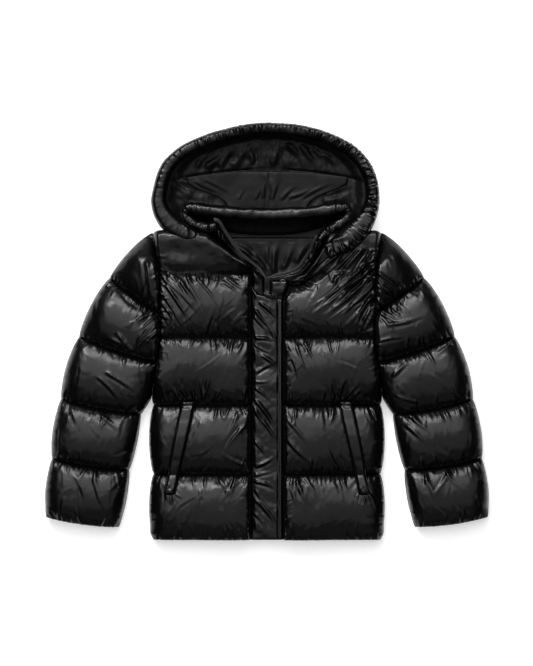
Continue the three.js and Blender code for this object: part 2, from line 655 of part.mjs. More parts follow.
// Open zip teeth: a bar just inside the neck opening, along the collar's front edge
const teethSize = { width: 3.4, height: 2.8, off: { left: 4.6, right: 6.4 }, reach: 5.2 / 28 };
function openTeeth(side) {
  const sign = side === "right" ? -1 : 1;
  const start = side === "right" ? 0 : 1;
  const path = [new THREE.Vector3(sign * 2.4, slider.y + slider.length / 2 + 2.4, layerZ + 5.8)];
  for (let n = 0; n <= 22; n++) {
    const t = Math.abs(start - (teethSize.reach * n) / 22);
    const run = freeEdge.getTangent(t).multiplyScalar(side === "right" ? 1 : -1);
    const inward = new THREE.Vector3(-sign * run.y, sign * run.x, 0).normalize();
    path.push(freeEdge.getPoint(t).addScaledVector(inward, teethSize.off[side]));
  }
  const across = path.map((p, n) => {
    const run = path[Math.min(n + 1, path.length - 1)].clone().sub(path[Math.max(n - 1, 0)]);
    return new THREE.Vector3(run.y, -run.x, 0).normalize();
  });
  const faceAt = (dz) =>
    path.map((p, n) =>
      [-0.5, 0.5].map((half) =>
        p.clone().addScaledVector(across[n], half * teethSize.width).setZ(p.z + dz),
      ),
    );
  return wallBetween(faceAt(teethSize.height / 2), faceAt(-teethSize.height / 2));
}

// Hood rim: the padded edge of the opening, a tube from the left shoulder over the top to the right.
// half is across the tube seen from above, and tall is half its height.
const rimRows = [
  { x: 124, y: 320, z: 60, half: 15, tall: 13 },
  { x: 153, y: 336, z: 62, half: 23, tall: 17 },
  { x: 178, y: 354, z: 62, half: 25, tall: 18 },
  { x: 201, y: 380, z: 61, half: 22, tall: 19 },
  { x: 214, y: 405, z: 60, half: 18, tall: 20 },
  { x: 220, y: 433, z: 60, half: 15.5, tall: 21 },
  { x: 217, y: 468, z: 60, half: 14, tall: 22 },
  { x: 204, y: 499, z: 61, half: 14, tall: 22 },
  { x: 181, y: 526, z: 62, half: 13.5, tall: 23 },
  { x: 156, y: 543, z: 62, half: 13, tall: 23 },
  { x: 115, y: 561, z: 63, half: 12.5, tall: 24 },
  { x: 69, y: 572, z: 63, half: 12.5, tall: 24 },
  { x: 23, y: 577, z: 63, half: 12.5, tall: 24 },
  { x: -26, y: 576, z: 63, half: 12.5, tall: 24 },
  { x: -71, y: 568, z: 63, half: 12.5, tall: 24 },
  { x: -122, y: 553, z: 62, half: 13, tall: 23 },
  { x: -169, y: 532, z: 62, half: 13.5, tall: 23 },
  { x: -193, y: 514, z: 61, half: 14, tall: 22 },
  { x: -211, y: 490, z: 60, half: 14.5, tall: 22 },
  { x: -222, y: 455, z: 60, half: 15, tall: 21 },
  { x: -225, y: 421, z: 60, half: 17, tall: 20 },
  { x: -207, y: 386, z: 60, half: 21, tall: 18 },
  { x: -170, y: 360, z: 60, half: 17, tall: 15 },
  { x: -138, y: 353, z: 57, half: 7, tall: 9 },
];
const rimLine = curveOf(rimRows);
const rimSizes = rimRows.map((row, n) => ({ t: n / (rimRows.length - 1), ...row }));
const rimSides = 12;
function rimSection(t) {
  const middle = rimLine.getPoint(t);
  const run = rimLine.getTangent(t);
  const across = new THREE.Vector3(run.y, -run.x, 0).normalize();
  const pucker = 1 + 0.035 * Math.sin(t * 2 * Math.PI * 20);
  const half = along(rimSizes, "t", "half", t) * pucker;
  const tall = along(rimSizes, "t", "tall", t) * pucker;
  return [...Array(rimSides).keys()].map((n) => {
    const turn = (n / rimSides) * 2 * Math.PI;
    return middle
      .clone()
      .addScaledVector(across, half * Math.cos(turn))
      .setZ(middle.z + tall * Math.sin(turn));
  });
}
function hoodRim() {
  const rings = [...Array(83).keys()].map((n) => rimSection(n / 82));
  return ringsBetween(middleOf(rings[0]), rings, middleOf(rings[82]));
}

// Hood shell and lining: seen from above, points are at a share of the way from the middle of the
// hood to its outline, which is the rim's middle line and, on the neck side, lies under the back
const hoodMiddle = new THREE.Vector2(0, 450);
const neckSide = [[-190, 364], [-150, 340], [0, 336], [150, 340], [192, 362]];
const hoodOutline = rimRows
  .slice(3, -2)
  .map((row) => new THREE.Vector2(row.x, row.y))
  .concat(neckSide.map(([x, y]) => new THREE.Vector2(x, y)));
function hoodReach(angle) {
  const ray = new THREE.Vector2(Math.cos(angle), Math.sin(angle));
  let reach = 0;
  hoodOutline.forEach((a, n) => {
    const b = hoodOutline[(n + 1) % hoodOutline.length];
    const edge = b.clone().sub(a);
    const from = a.clone().sub(hoodMiddle);
    const across = ray.cross(edge);
    const where = from.cross(ray) / across;
    const distance = from.cross(edge) / across;
    if (where >= 0 && where <= 1 && distance > 0) reach = distance;
  });
  return reach;
}
function hoodShare(x, y) {
  const from = new THREE.Vector2(x, y).sub(hoodMiddle);
  return from.length() / hoodReach(from.angle());
}
const hoodRise = (y) => smooth((y - 372) / 50);
const shellInside = (share, y) => 20 + 17 * hoodRise(y) * clamp01((share - 0.55) / 0.45) ** 2;
const shellOutside = (share, y) => 25 * hoodRise(y) * clamp01((share - 0.72) / 0.28) ** 1.6;
const hoodAround = 52;
function hoodRing(share, heightAt) {
  return [...Array(hoodAround).keys()].map((n) => {
    const angle = (n / hoodAround) * 2 * Math.PI;
    const reach = hoodReach(angle) * share;
    const x = hoodMiddle.x + reach * Math.cos(angle);
    const y = hoodMiddle.y + reach * Math.sin(angle);
    return new THREE.Vector3(x, y, heightAt(share, y, x));
  });
}
const hoodPole = (z) => new THREE.Vector3(hoodMiddle.x, hoodMiddle.y, z);
function hoodShell() {
  const rings = [
    ...[0.4, 0.72, 0.82, 0.9, 0.96, 1].map((share) => hoodRing(share, shellOutside)),
    ...[1, 0.9, 0.78, 0.66, 0.55, 0.3].map((share) => hoodRing(share, shellInside)),
  ];
  return cut(ringsBetween(hoodPole(0), rings, hoodPole(20)), prism);
}
const panelHalf = 62; // half the width of the hood's middle panel
const slab = (fromX, toX) =>
  boxFromTo(new THREE.Vector3(fromX, 0, -50), new THREE.Vector3(toX, 900, 300));

const liningFolds = [
  { x: -120, y: 500, toX: -60, toY: 540, height: 4, width: 9 },
  { x: -70, y: 500, toX: -20, toY: 545, height: 4, width: 10 },
  { x: 40, y: 545, toX: 90, toY: 505, height: 4, width: 10 },
  { x: 100, y: 535, toX: 140, toY: 500, height: 4, width: 8 },
  { x: -185, y: 455, toX: -110, toY: 425, height: 4, width: 9 },
  { x: 110, y: 425, toX: 185, toY: 450, height: 4, width: 9 },
];
const liningBottom = (share, y) => shellInside(share, y) + 1.6;
function liningTop(share, y, x) {
  const band = puff((share - 0.42) / 0.5) * 5 * hoodRise(y);
  const folds = foldLift(liningFolds, x, y) * smooth((0.93 - share) / 0.08);
  return liningBottom(share, y) + 4 + band + folds;
}
function hoodLining() {
  const edge = 0.945;
  const rings = [
    ...[0.4, 0.7, 0.85, edge].map((share) => hoodRing(share, liningBottom)),
    ...[edge, 0.9, 0.82, 0.72, 0.6, 0.48, 0.25].map((share) => hoodRing(share, liningTop)),
  ];
  return cut(ringsBetween(hoodPole(21.6), rings, hoodPole(25.6)), prism);
}

// Hood facing: the smooth panel across the inside of the hood, its upper edge a shallow arc
const facingRows = [
  { t: 0, y: 396, half: 72, sag: 0 },
  { t: 0.35, y: 427, half: 92, sag: 0 },
  { t: 0.6, y: 446, half: 132, sag: 2 },
  { t: 0.82, y: 466, half: 172, sag: 6 },
  { t: 1, y: 491, half: 168, sag: 14 },
];
const facingGrid = [...Array(10).keys()].map((i) =>
  [...Array(17).keys()].map((j) => {
    const t = i / 9;
    const share = (j / 16) * 2 - 1;
    const x = along(facingRows, "t", "half", t) * share + 1;
    const y = along(facingRows, "t", "y", t) - along(facingRows, "t", "sag", t) * share ** 2;
    return { x, y, edge: rounded(Math.min(j, 16 - j, i, 9 - i) + 0.6, 2), t };
  }),
);
const facingSeat = (p) => liningTop(hoodShare(p.x, p.y), p.y, p.x) + 2.6;
const hoodFacing = wallBetween(
  facingGrid.map((row) => row.map((p) => new THREE.Vector3(p.x, p.y, facingSeat(p) + 1.2 + 2.4 * p.edge + 3 * p.t))),
  facingGrid.map((row) => row.map((p) => new THREE.Vector3(p.x, p.y, facingSeat(p)))),
);

const shell = hoodShell();
add("back", back, black);
add("front_left", frontLeft, black);
add("front_right", frontRight, black);
for (const [side, turn] of [["left", (g) => g], ["right", mirrorGrid]]) {
  add(`sleeve_top_${side}`, cut(padOn(turn(sleeveTopGrid), layerZ + seamGap), prism), black);
  add(`sleeve_under_${side}`, cut(padOn(turn(sleeveUnderGrid), layerZ), prism), black);
}
add("pocket_welt_left", pocketWelt(frontLeft, "left"), black);
add("pocket_welt_right", pocketWelt(frontRight, "right"), black);
add("storm_flap", padOn(flapGrid, flapSeatZ), black);
add("front_band_left", frontBand("left"), black);
add("front_band_right", frontBand("right"), black);
add("zip_chain", chain, matteBlack);
add("zip_teeth_left", openTeeth("left"), matteBlack);
add("zip_teeth_right", openTeeth("right"), matteBlack);
add("zip_slider", zipSlider(), gunmetal);
add("zip_pull", zipPull(), gunmetal);
add("snap_socket", snapSocket(), gunmetal);
add("neck_lining", padOn(neckGrid, layerZ + seamGap), matteBlack);
add("collar", collar(), black);
add("hood_rim", hoodRim(), black);
add("hood_centre", cut(shell, slab(-900, -panelHalf), slab(panelHalf, 900)), black);
add("hood_side_left", cut(shell, slab(-900, panelHalf + seamGap)), black);
add("hood_side_right", cut(shell, slab(-panelHalf - seamGap, 900)), black);
add("hood_lining", hoodLining(), matteBlack);
add("hood_facing", hoodFacing, matteBlack);

export default jacket;
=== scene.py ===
import json
import math
import random
import bmesh
import bpy
import numpy as np
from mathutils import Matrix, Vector, noise

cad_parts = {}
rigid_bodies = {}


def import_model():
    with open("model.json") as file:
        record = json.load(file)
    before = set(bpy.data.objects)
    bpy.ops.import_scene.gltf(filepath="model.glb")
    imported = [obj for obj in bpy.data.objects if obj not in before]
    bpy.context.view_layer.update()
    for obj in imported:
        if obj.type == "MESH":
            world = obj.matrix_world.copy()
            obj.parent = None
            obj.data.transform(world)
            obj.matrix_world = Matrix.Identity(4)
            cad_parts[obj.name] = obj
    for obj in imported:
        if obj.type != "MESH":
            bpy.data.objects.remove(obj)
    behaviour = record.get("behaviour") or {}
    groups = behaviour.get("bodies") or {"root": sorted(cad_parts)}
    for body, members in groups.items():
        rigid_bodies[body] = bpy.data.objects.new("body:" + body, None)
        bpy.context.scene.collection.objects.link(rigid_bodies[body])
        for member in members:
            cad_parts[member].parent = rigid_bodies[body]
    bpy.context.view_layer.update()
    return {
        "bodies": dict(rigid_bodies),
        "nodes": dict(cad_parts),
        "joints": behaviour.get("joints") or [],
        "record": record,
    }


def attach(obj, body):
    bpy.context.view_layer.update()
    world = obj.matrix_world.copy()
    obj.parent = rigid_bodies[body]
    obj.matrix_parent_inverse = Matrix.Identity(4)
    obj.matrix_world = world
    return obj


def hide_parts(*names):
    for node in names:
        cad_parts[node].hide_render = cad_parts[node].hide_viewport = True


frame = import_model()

scene = bpy.context.scene
print("frame loaded:", len(frame["nodes"]), "nodes")


# small helpers

def linear(hexColour):  # sRGB hex to the linear colour that shaders want
    parts = [int(hexColour[i:i + 2], 16) / 255 for i in (1, 3, 5)]
    return [p / 12.92 if p <= 0.04045 else ((p + 0.055) / 1.055) ** 2.4 for p in parts] + [1.0]


def mix(a, b, t):
    return a + (b - a) * t


def clamp(t, low=0.0, high=1.0):
    return min(high, max(low, t))


def ease(t):
    t = clamp(t)
    return t * t * (3 - 2 * t)


def puffShape(s):  # a channel's rounded section, 0 at both seams
    return math.sin(math.pi * clamp(s)) ** 0.55


def quarterRound(d, r):
    return math.sqrt(max(0.0, 1 - (1 - clamp(d / r)) ** 2))


def along(table, at):  # straight steps through (key, value) rows
    keys = [row[0] for row in table]
    return float(np.interp(at, keys, [row[1] for row in table]))


def splineThrough(points):  # smooth curve through points, read at a share from 0 to 1
    pts = [Vector(p) for p in points]

    def at(t):
        u = clamp(t) * (len(pts) - 1)
        i = min(int(u), len(pts) - 2)
        f = u - i
        p0 = pts[i - 1] if i > 0 else pts[0] * 2 - pts[1]
        p3 = pts[i + 2] if i + 2 < len(pts) else pts[-1] * 2 - pts[-2]
        p1, p2 = pts[i], pts[i + 1]
        return 0.5 * (2 * p1 + (p2 - p0) * f + (2 * p0 - 5 * p1 + 4 * p2 - p3) * f * f
                      + (3 * p1 - p0 - 3 * p2 + p3) * f * f * f)

    return at


def rough(x, y, size, seed=0.0):  # smooth noise from -1 to 1, with a grain of size mm
    return noise.noise(Vector((x / size, y / size, seed)))


# materials

def addNode(tree, kind, settings=None, **inputs):
    node = tree.nodes.new(kind)
    for name, value in (settings or {}).items():
        setattr(node, name, value)
    for name, value in inputs.items():
        byNumber = name[0] == "i" and name[1:].isdigit()
        socket = node.inputs[int(name[1:]) if byNumber else name.replace("_", " ")]
        if isinstance(value, bpy.types.NodeSocket):
            tree.links.new(value, socket)
        else:
            socket.default_value = value
    return node


def newMaterial(name):
    material = bpy.data.materials.new(name)
    material.use_nodes = True
    material.node_tree.nodes.clear()
    return material, material.node_tree


cloths = {  # sizes and depths in mm
    # calendered nylon taffeta over down: a plain weave pressed smooth, so it shines softly
    "glossyNylon": {"colour": "#040405", "dark": "#020203", "roughness": 0.27, "ior": 1.34, "sheen": 0.0,
                    "weaveMm": 1.1, "weaveDepth": 0.02, "crinkleMm": 7, "crinkleDepth": 0.25},
    # woven lining, less pressed, so its light is broader and duller
    "liningTaffeta": {"colour": "#0a0909", "dark": "#060505", "roughness": 0.46, "ior": 1.22, "sheen": 0.0,
                      "weaveMm": 1.3, "weaveDepth": 0.03, "crinkleMm": 14, "crinkleDepth": 0.3},
    # zip tape: a dense dull twill
    "zipTape": {"colour": "#0b0b0c", "dark": "#070708", "roughness": 0.7, "ior": 1.5, "sheen": 0.1,
                "weaveMm": 1.4, "weaveDepth": 0.06, "crinkleMm": 20, "crinkleDepth": 0.1},
}


def wovenCloth(name, look):
    material, tree = newMaterial(name)
    place = addNode(tree, "ShaderNodeTexCoord")
    where = place.outputs["Object"]
    crinkle = addNode(tree, "ShaderNodeTexNoise", {"noise_dimensions": "3D"}, Vector=where,
                      Scale=1000 / look["crinkleMm"], Detail=3.0, Roughness=0.55, Distortion=0.6)
    tone = addNode(tree, "ShaderNodeTexNoise", None, Vector=where, Scale=18.0, Detail=2.0)
    colour = addNode(tree, "ShaderNodeMix", {"data_type": "RGBA"}, i0=tone.outputs[0])
    colour.inputs[6].default_value = linear(look["dark"])
    colour.inputs[7].default_value = linear(look["colour"])
    warp, weft = (addNode(tree, "ShaderNodeTexWave", {"wave_type": "BANDS", "bands_direction": way},
                          Vector=where, Scale=1000 / look["weaveMm"] / 6.28) for way in "XY")
    weave = addNode(tree, "ShaderNodeMath", {"operation": "MAXIMUM"}, i0=warp.outputs[1],
                    i1=weft.outputs[1])
    soft = addNode(tree, "ShaderNodeBump", None, Strength=0.6, Distance=look["crinkleDepth"] / 1000,
                   Height=crinkle.outputs[0])
    fine = addNode(tree, "ShaderNodeBump", None, Strength=0.5, Distance=look["weaveDepth"] / 1000,
                   Height=weave.outputs[0], Normal=soft.outputs[0])
    shader = addNode(tree, "ShaderNodeBsdfPrincipled", None, Base_Color=colour.outputs[2],
                     Roughness=look["roughness"], IOR=look["ior"], Sheen_Weight=look["sheen"],
                     Sheen_Roughness=0.4, Normal=fine.outputs[0])
    addNode(tree, "ShaderNodeOutputMaterial", None, Surface=shader.outputs[0])
    return material


def plainFinish(name, hexColour, metallic, roughness, grainMm):
    material, tree = newMaterial(name)
    place = addNode(tree, "ShaderNodeTexCoord")
    grain = addNode(tree, "ShaderNodeTexNoise", None, Vector=place.outputs["Object"],
                    Scale=1000 / grainMm, Detail=2.0)
    bump = addNode(tree, "ShaderNodeBump", None, Strength=0.3, Distance=0.00005, Height=grain.outputs[0])
    shader = addNode(tree, "ShaderNodeBsdfPrincipled", None, Base_Color=linear(hexColour),
                     Metallic=metallic, Roughness=roughness, Normal=bump.outputs[0])
    addNode(tree, "ShaderNodeOutputMaterial", None, Surface=shader.outputs[0])
    return material


glossyNylon = wovenCloth("calendered nylon taffeta", cloths["glossyNylon"])
liningTaffeta = wovenCloth("woven lining taffeta", cloths["liningTaffeta"])
zipTape = wovenCloth("polyester zip tape", cloths["zipTape"])
# moulded and cast pieces: smooth, with a fine grain that breaks the light
mouldedTeeth = plainFinish("moulded acetal zip teeth", "#1c1c1e", 0.0, 0.35, 0.8)
gunmetal = plainFinish("blackened zinc alloy", "#1d1d20", 1.0, 0.36, 0.6)
snapMetal = plainFinish("brushed gunmetal snap", "#5c5c60", 1.0, 0.3, 0.6)
polyesterThread = plainFinish("polyester sewing thread", "#111113", 0.0, 0.5, 0.4)


# meshes

def meshObject(name, points, faces, material):  # points in mm
    mesh = bpy.data.meshes.new(name)
    mesh.from_pydata([tuple(0.001 * v for v in p) for p in points], [], faces)
    mesh.materials.append(material)
    obj = bpy.data.objects.new(name, mesh)
    scene.collection.objects.link(obj)
    return obj


def pointsOf(obj):
    flat = np.empty(len(obj.data.vertices) * 3)
    obj.data.vertices.foreach_get("co", flat)
    return flat.reshape(-1, 3) * 1000


def setPoints(obj, points):
    obj.data.vertices.foreach_set("co", (np.asarray(points) / 1000).ravel())
    obj.data.update()


def normalsOf(obj):
    flat = np.empty(len(obj.data.vertices) * 3)
    obj.data.vertices.foreach_get("normal", flat)
    return flat.reshape(-1, 3)


def border(rows, cols):  # point numbers round the edge of a grid
    loop = [j for j in range(cols)]
    loop += [i * cols + cols - 1 for i in range(1, rows)]
    loop += [(rows - 1) * cols + j for j in range(cols - 2, -1, -1)]
    return loop + [i * cols for i in range(rows - 2, 0, -1)]


def padParts(grid, seatZ):
    # grid is the quilted face, the plane z = seatZ the plain face; quads in a ladder close the plain side
    rows, cols = len(grid), len(grid[0])
    points = [p for row in grid for p in row]
    faces = [[i * cols + j, i * cols + j + 1, (i + 1) * cols + j + 1, (i + 1) * cols + j]
             for i in range(rows - 1) for j in range(cols - 1)]
    loop = border(rows, cols)
    first = len(points)
    low = {}
    for n, k in enumerate(loop):
        low[k] = first + n
        points.append((points[k][0], points[k][1], seatZ))
    for n, k in enumerate(loop):
        after = loop[(n + 1) % len(loop)]
        faces.append([k, low[k], low[after], after])
    last = cols - 1

    def on(i, j):
        return low[i * cols + j]

    for j in range(last):
        faces.append([on(0, j + 1), on(0, j), on(1, 0)])
        faces.append([on(rows - 1, j), on(rows - 1, j + 1), on(rows - 2, 0)])
    faces.append([on(1, last), on(0, last), on(1, 0)])
    faces.append([on(rows - 1, last), on(rows - 2, last), on(rows - 2, 0)])
    for i in range(1, rows - 2):
        faces.append([on(i, 0), on(i + 1, 0), on(i + 1, last), on(i, last)])
    return points, faces, first


def faceOut(obj):  # turns every face round when the closed mesh is inside out
    work = bmesh.new()
    work.from_mesh(obj.data)
    if work.calc_volume(signed=True) < 0:
        obj.data.flip_normals()
    work.free()
    return obj


def tubeParts(rings):  # closed skin from rings of points, capped at both ends
    around = len(rings[0])
    points = [p for ring in rings for p in ring]
    faces = [[i * around + j, i * around + (j + 1) % around, (i + 1) * around + (j + 1) % around,
              (i + 1) * around + j] for i in range(len(rings) - 1) for j in range(around)]
    for ring, base, turn in ((rings[0], 0, 1), (rings[-1], (len(rings) - 1) * around, -1)):
        middle = tuple(sum(p[k] for p in ring) / around for k in range(3))
        pole = len(points)
        points.append(middle)
        for j in range(around):
            faces.append([pole, base + (j + 1) % around, base + j][::turn])
    return points, faces


def wallParts(upper, lower):  # a thin closed slab between two grids
    rows, cols = len(upper), len(upper[0])
    points = [p for row in upper for p in row] + [p for row in lower for p in row]
    first = rows * cols
    faces = []
    for i in range(rows - 1):
        for j in range(cols - 1):
            quad = [i * cols + j, i * cols + j + 1, (i + 1) * cols + j + 1, (i + 1) * cols + j]
            faces.append(quad)
            faces.append([first + k for k in reversed(quad)])
    loop = border(rows, cols)
    for n, k in enumerate(loop):
        after = loop[(n + 1) % len(loop)]
        faces.append([k, first + k, first + after, after])
    return points, faces


def sharpSeams(obj, rows):  # rows of point numbers; the cloth turns sharply along each
    wanted = set()
    for row in rows:
        wanted |= {(a, b) for a, b in zip(row[:-1], row[1:])}
    ends = np.empty(len(obj.data.edges) * 2, dtype=int)
    obj.data.edges.foreach_get("vertices", ends)
    ends = np.sort(ends.reshape(-1, 2), axis=1)
    hit = [(int(a), int(b)) in wanted for a, b in ends]
    crease = obj.data.attributes.new("crease_edge", "FLOAT", "EDGE")
    crease.data.foreach_set("value", [1.0 * h for h in hit])
    sharp = obj.data.attributes.new("sharp_edge", "BOOLEAN", "EDGE")
    sharp.data.foreach_set("value", hit)
    return obj


def finishSmooth(obj, levels=1):  # subdivides for good, and shades smooth
    if levels:
        sub = obj.modifiers.new("smooth", "SUBSURF")
        sub.levels = sub.render_levels = levels
        graph = bpy.context.evaluated_depsgraph_get()
        mesh = bpy.data.meshes.new_from_object(obj.evaluated_get(graph))
        obj.modifiers.remove(sub)
        old = obj.data
        obj.data = mesh
        bpy.data.meshes.remove(old)
    obj.data.polygons.foreach_set("use_smooth", [True] * len(obj.data.polygons))
    return obj


# cloth under down pressure

down = {
    "spare": 1.18,  # cut cloth against the shape it is sewn to
    "cutDepth": 6.0, "pressure": 16.0, "cap": 14.0, "bend": 0.01, "frames": 24,
}
clothSettings = {
    "quality": 5, "mass": 0.004, "air_damping": 1.0,  # mass in kg of each point
    "tension_stiffness": 18, "compression_stiffness": 18, "shear_stiffness": 6,
    "tension_damping": 1, "compression_damping": 1, "shear_damping": 1,
}
pressed = []  # pieces that wait for the simulation


def inflate(obj, held, flat, pressure, cap, bend=0.02):
    # held: points that stay, flat: each point of the cut cloth before it is filled, both by vertex
    pressed.append({"obj": obj, "held": held, "flat": flat, "pressure": pressure, "cap": cap,
                    "bend": bend, "start": pointsOf(obj)})


def runInflation(frames):
    for job in pressed:
        obj = job["obj"]
        group = obj.vertex_groups.new(name="sewn")
        group.add([int(i) for i in job["held"]], 1.0, "REPLACE")
        obj.shape_key_add(name="sewn shape")
        cut = obj.shape_key_add(name="cut cloth")
        cut.data.foreach_set("co", (np.asarray(job["flat"]) / 1000).ravel())
        cloth = obj.modifiers.new("cloth", "CLOTH")
        s = cloth.settings
        for name, value in clothSettings.items():
            setattr(s, name, value)
        s.bending_stiffness = job["bend"]
        s.vertex_group_mass = "sewn"
        s.rest_shape_key = cut
        s.use_pressure = True
        s.uniform_pressure_force = job["pressure"]
        s.effector_weights.gravity = 0
        cloth.collision_settings.use_collision = False
        cloth.collision_settings.use_self_collision = False
        cloth.point_cache.frame_start = 1
        cloth.point_cache.frame_end = frames
    scene.frame_start, scene.frame_end = 1, frames
    for f in range(1, frames + 1):
        scene.frame_set(f)
    graph = bpy.context.evaluated_depsgraph_get()
    for job in pressed:
        obj = job["obj"]
        result = obj.evaluated_get(graph).data
        flat = np.empty(len(result.vertices) * 3)
        result.vertices.foreach_get("co", flat)
        moved = flat.reshape(-1, 3) * 1000
        obj.modifiers.clear()
        obj.shape_key_clear()
        obj.vertex_groups.clear()
        step = moved - job["start"]
        length = np.linalg.norm(step, axis=1, keepdims=True)
        step *= np.minimum(1, job["cap"] / np.maximum(length, 1e-6))
        setPoints(obj, job["start"] + step)
        print("filled", obj.name, "moved up to", round(float(length.max()), 1), "mm")
    scene.frame_set(1)


# the jacket's lines, as the solids have them, in mm

body = {
    "gap": 0.3, "layerZ": 24.0,  # the fronts start a gap above the back
    "hemY": -283.5, "seams": [-283.5, -145.0, 0.0, 142.8, 277.0], "shoulderY": 352.0,
    "sideX": 237.0, "sidePuff": 11.0, "flapHalf": 33.3, "bandBareY": 212.0,
    "bandOpens": {"right": 0.0, "left": 13.0}, "yokeDrop": {"right": 0.0, "left": 27.0},
    "puff": 26.0, "seamRise": 11.0, "hemPuff": 0.25, "flatOver": 40.0, "flatShare": 0.35,
    "lip": 3.0, "innerLip": 11.0, "armholeLip": 9.0,  # height of a front's borders over its seat
    "edgeRound": 46.0, "armholeRound": 13.0, "flapRound": 9.0,
    "yokeClimb": {"right": 27.0, "left": 20.0}, "yokeSeamRise": 4.0, "yokeLipDrop": 5.0,
    "top": {  # share from the side to the flap, and y
        "right": [(0, 360), (0.05, 366), (0.2, 368), (0.42, 366), (0.56, 359), (0.7, 337), (0.82, 316),
                  (1, 290)],
        "left": [(0, 360), (0.05, 366), (0.2, 368), (0.42, 366), (0.57, 359), (0.7, 308), (0.82, 276),
                 (1, 260)],
    },
    "rowsPerChannel": 40, "yokeRows": 22, "columns": 58,  # about 3.5 mm a cell
}
underarm, armholeTop, armholeMid = (241.0, 34.0), (240.0, 352.0), (225.0, 175.0)


def sideAt(y):
    if y >= underarm[1]:
        t = (y - underarm[1]) / (body["shoulderY"] - underarm[1])
        hollow = max(0.0, math.sin(math.pi * min(1, t))) ** 0.8
        return mix(underarm[0], armholeTop[0], t) - hollow * (armholeTop[0] - armholeMid[0])
    seams = body["seams"]
    c = next(n for n in range(4) if y <= seams[n + 1])
    s = (y - seams[c]) / (seams[c + 1] - seams[c])
    atHem = (body["hemY"] + 14 - y) * 0.5 if y < body["hemY"] + 14 else 0
    closes = ease((underarm[1] - y) / 40)
    bulge = max(puffShape(s), 0.8 if s < 0.5 else 0) if c == 0 else puffShape(s)
    return mix(underarm[0], body["sideX"] + body["sidePuff"] * bulge, closes) - atHem


def frontPlan(row, share, side):
    c = min(4, int(row))
    s = row - c

    def innerX(y):
        return body["flapHalf"] + body["bandOpens"][side] * ease((y - body["bandBareY"]) / 40)

    yokeY = body["seams"][4] - body["yokeDrop"][side] * ease((share - 0.62) / 0.3)
    if c < 4:
        y = mix(body["seams"][c], yokeY if c == 3 else body["seams"][c + 1], s)
        return mix(sideAt(y), innerX(y), share), y, s
    low = (mix(sideAt(yokeY), innerX(yokeY), share), yokeY)
    high = (mix(armholeTop[0], innerX(body["shoulderY"]), share), along(body["top"][side], share))
    return mix(low[0], high[0], s), mix(low[1], high[1], s), s


def frontHeight(row, share, side):
    x, y, s = frontPlan(row, share, side)
    width = sideAt(min(y, body["shoulderY"])) - body["flapHalf"]
    seat = body["layerZ"] + body["gap"]
    atArmhole = ease((y - underarm[1] + 20) / 50)
    atFlap = ease((share - 0.3) / 0.5)
    lip = mix(body["lip"], body["innerLip"], max(atArmhole, atFlap))
    lip += body["armholeLip"] * atArmhole * (1 - atFlap)
    outerRound = mix(body["edgeRound"], body["armholeRound"], atArmhole)
    edge = quarterRound(share * width, outerRound) * quarterRound((1 - share) * width, body["flapRound"])
    if row > 4:  # the shoulder climbs slowly from its seam to the hood
        puff = (0.12 + 0.88 * min(1, s / 0.75)) * quarterRound(s + 0.02, 0.1)
    elif row < 1 and s < 0.3:
        puff = max(puffShape(s), body["hemPuff"])
    else:
        puff = puffShape(s)
    if side == "left" and 3.5 < row < 4.5:  # the long chest folds run over this end of the seam
        puff = max(puff, ease((x - 118) / 60) * 0.72)
    if row > 4:
        seam = mix(body["seamRise"], body["yokeSeamRise"], ease(row - 4))
        crown = mix(1.0, 0.75, ease((row - 4.85) / 0.15))
        lip -= body["yokeLipDrop"] * atArmhole * (1 - atFlap)
        return seat + lip + edge * (seam + body["yokeClimb"][side] * puff * crown)
    rise = lip + edge * (body["seamRise"] + body["puff"] * puff)
    return seat + min(rise, body["flatOver"] + body["flatShare"] * max(0, rise - body["flatOver"]))


def foldLift(folds, x, y):
    # folds: rows of x0, y0, x1, y1, height and width in mm; each is a ridge with a shallow valley
    # beside it, steep where it starts and fading out along its run
    x, y = np.asarray(x, float), np.asarray(y, float)
    lift = np.zeros(x.shape)
    for n, (x0, y0, x1, y1, height, width) in enumerate(folds):
        room = 4 * width
        near = ((x > min(x0, x1) - room) & (x < max(x0, x1) + room)
                & (y > min(y0, y1) - room) & (y < max(y0, y1) + room))
        if not near.any():
            continue
        dx, dy = x1 - x0, y1 - y0
        size = math.hypot(dx, dy)
        px, py = x[near] - x0, y[near] - y0
        t = (px * dx + py * dy) / size ** 2
        inRun = (t > -0.08) & (t < 1)
        t = np.clip(t, -0.08, 1)
        bow = (1, -1, 0.5)[n % 3] * 0.05 * size * np.sin(math.pi * np.clip(t, 0, 1))
        off = ((px * dy - py * dx) / size + bow) / width
        rise = np.clip((t + 0.08) / 0.2, 0, 1)
        fall = 1 - np.clip((t - 0.3) / 0.7, 0, 1)
        strength = rise * rise * (3 - 2 * rise) * fall * fall * (3 - 2 * fall) * inRun
        crest = np.exp(-np.abs(off) ** 1.5)
        lift[near] += height * strength * (crest - 0.5 * np.exp(-((off - 1.6) / 0.8) ** 2))
    return lift


def roughAt(x, y, size, seed):  # rough() for whole arrays
    flat = [rough(a, b, size, seed) for a, b in zip(np.ravel(x), np.ravel(y))]
    return np.array(flat).reshape(np.shape(x))


def crumple(obj, folds, clumps, lowest=30.0):
    # clumps: heights in mm of the broad and the small lumps that down makes under the cloth
    points, normals = pointsOf(obj), normalsOf(obj)
    top = (points[:, 2] > lowest) & (normals[:, 2] > -0.2)
    x, y = points[top, 0], points[top, 1]
    lift = foldLift(folds, x, y) + clumps[0] * roughAt(x, y, 46, 1.7) + clumps[1] * roughAt(x, y, 20, 8.3)
    step = normals[top] * lift[:, None]
    step[:, :2] *= 0.6
    points[top] += step
    setPoints(obj, points)


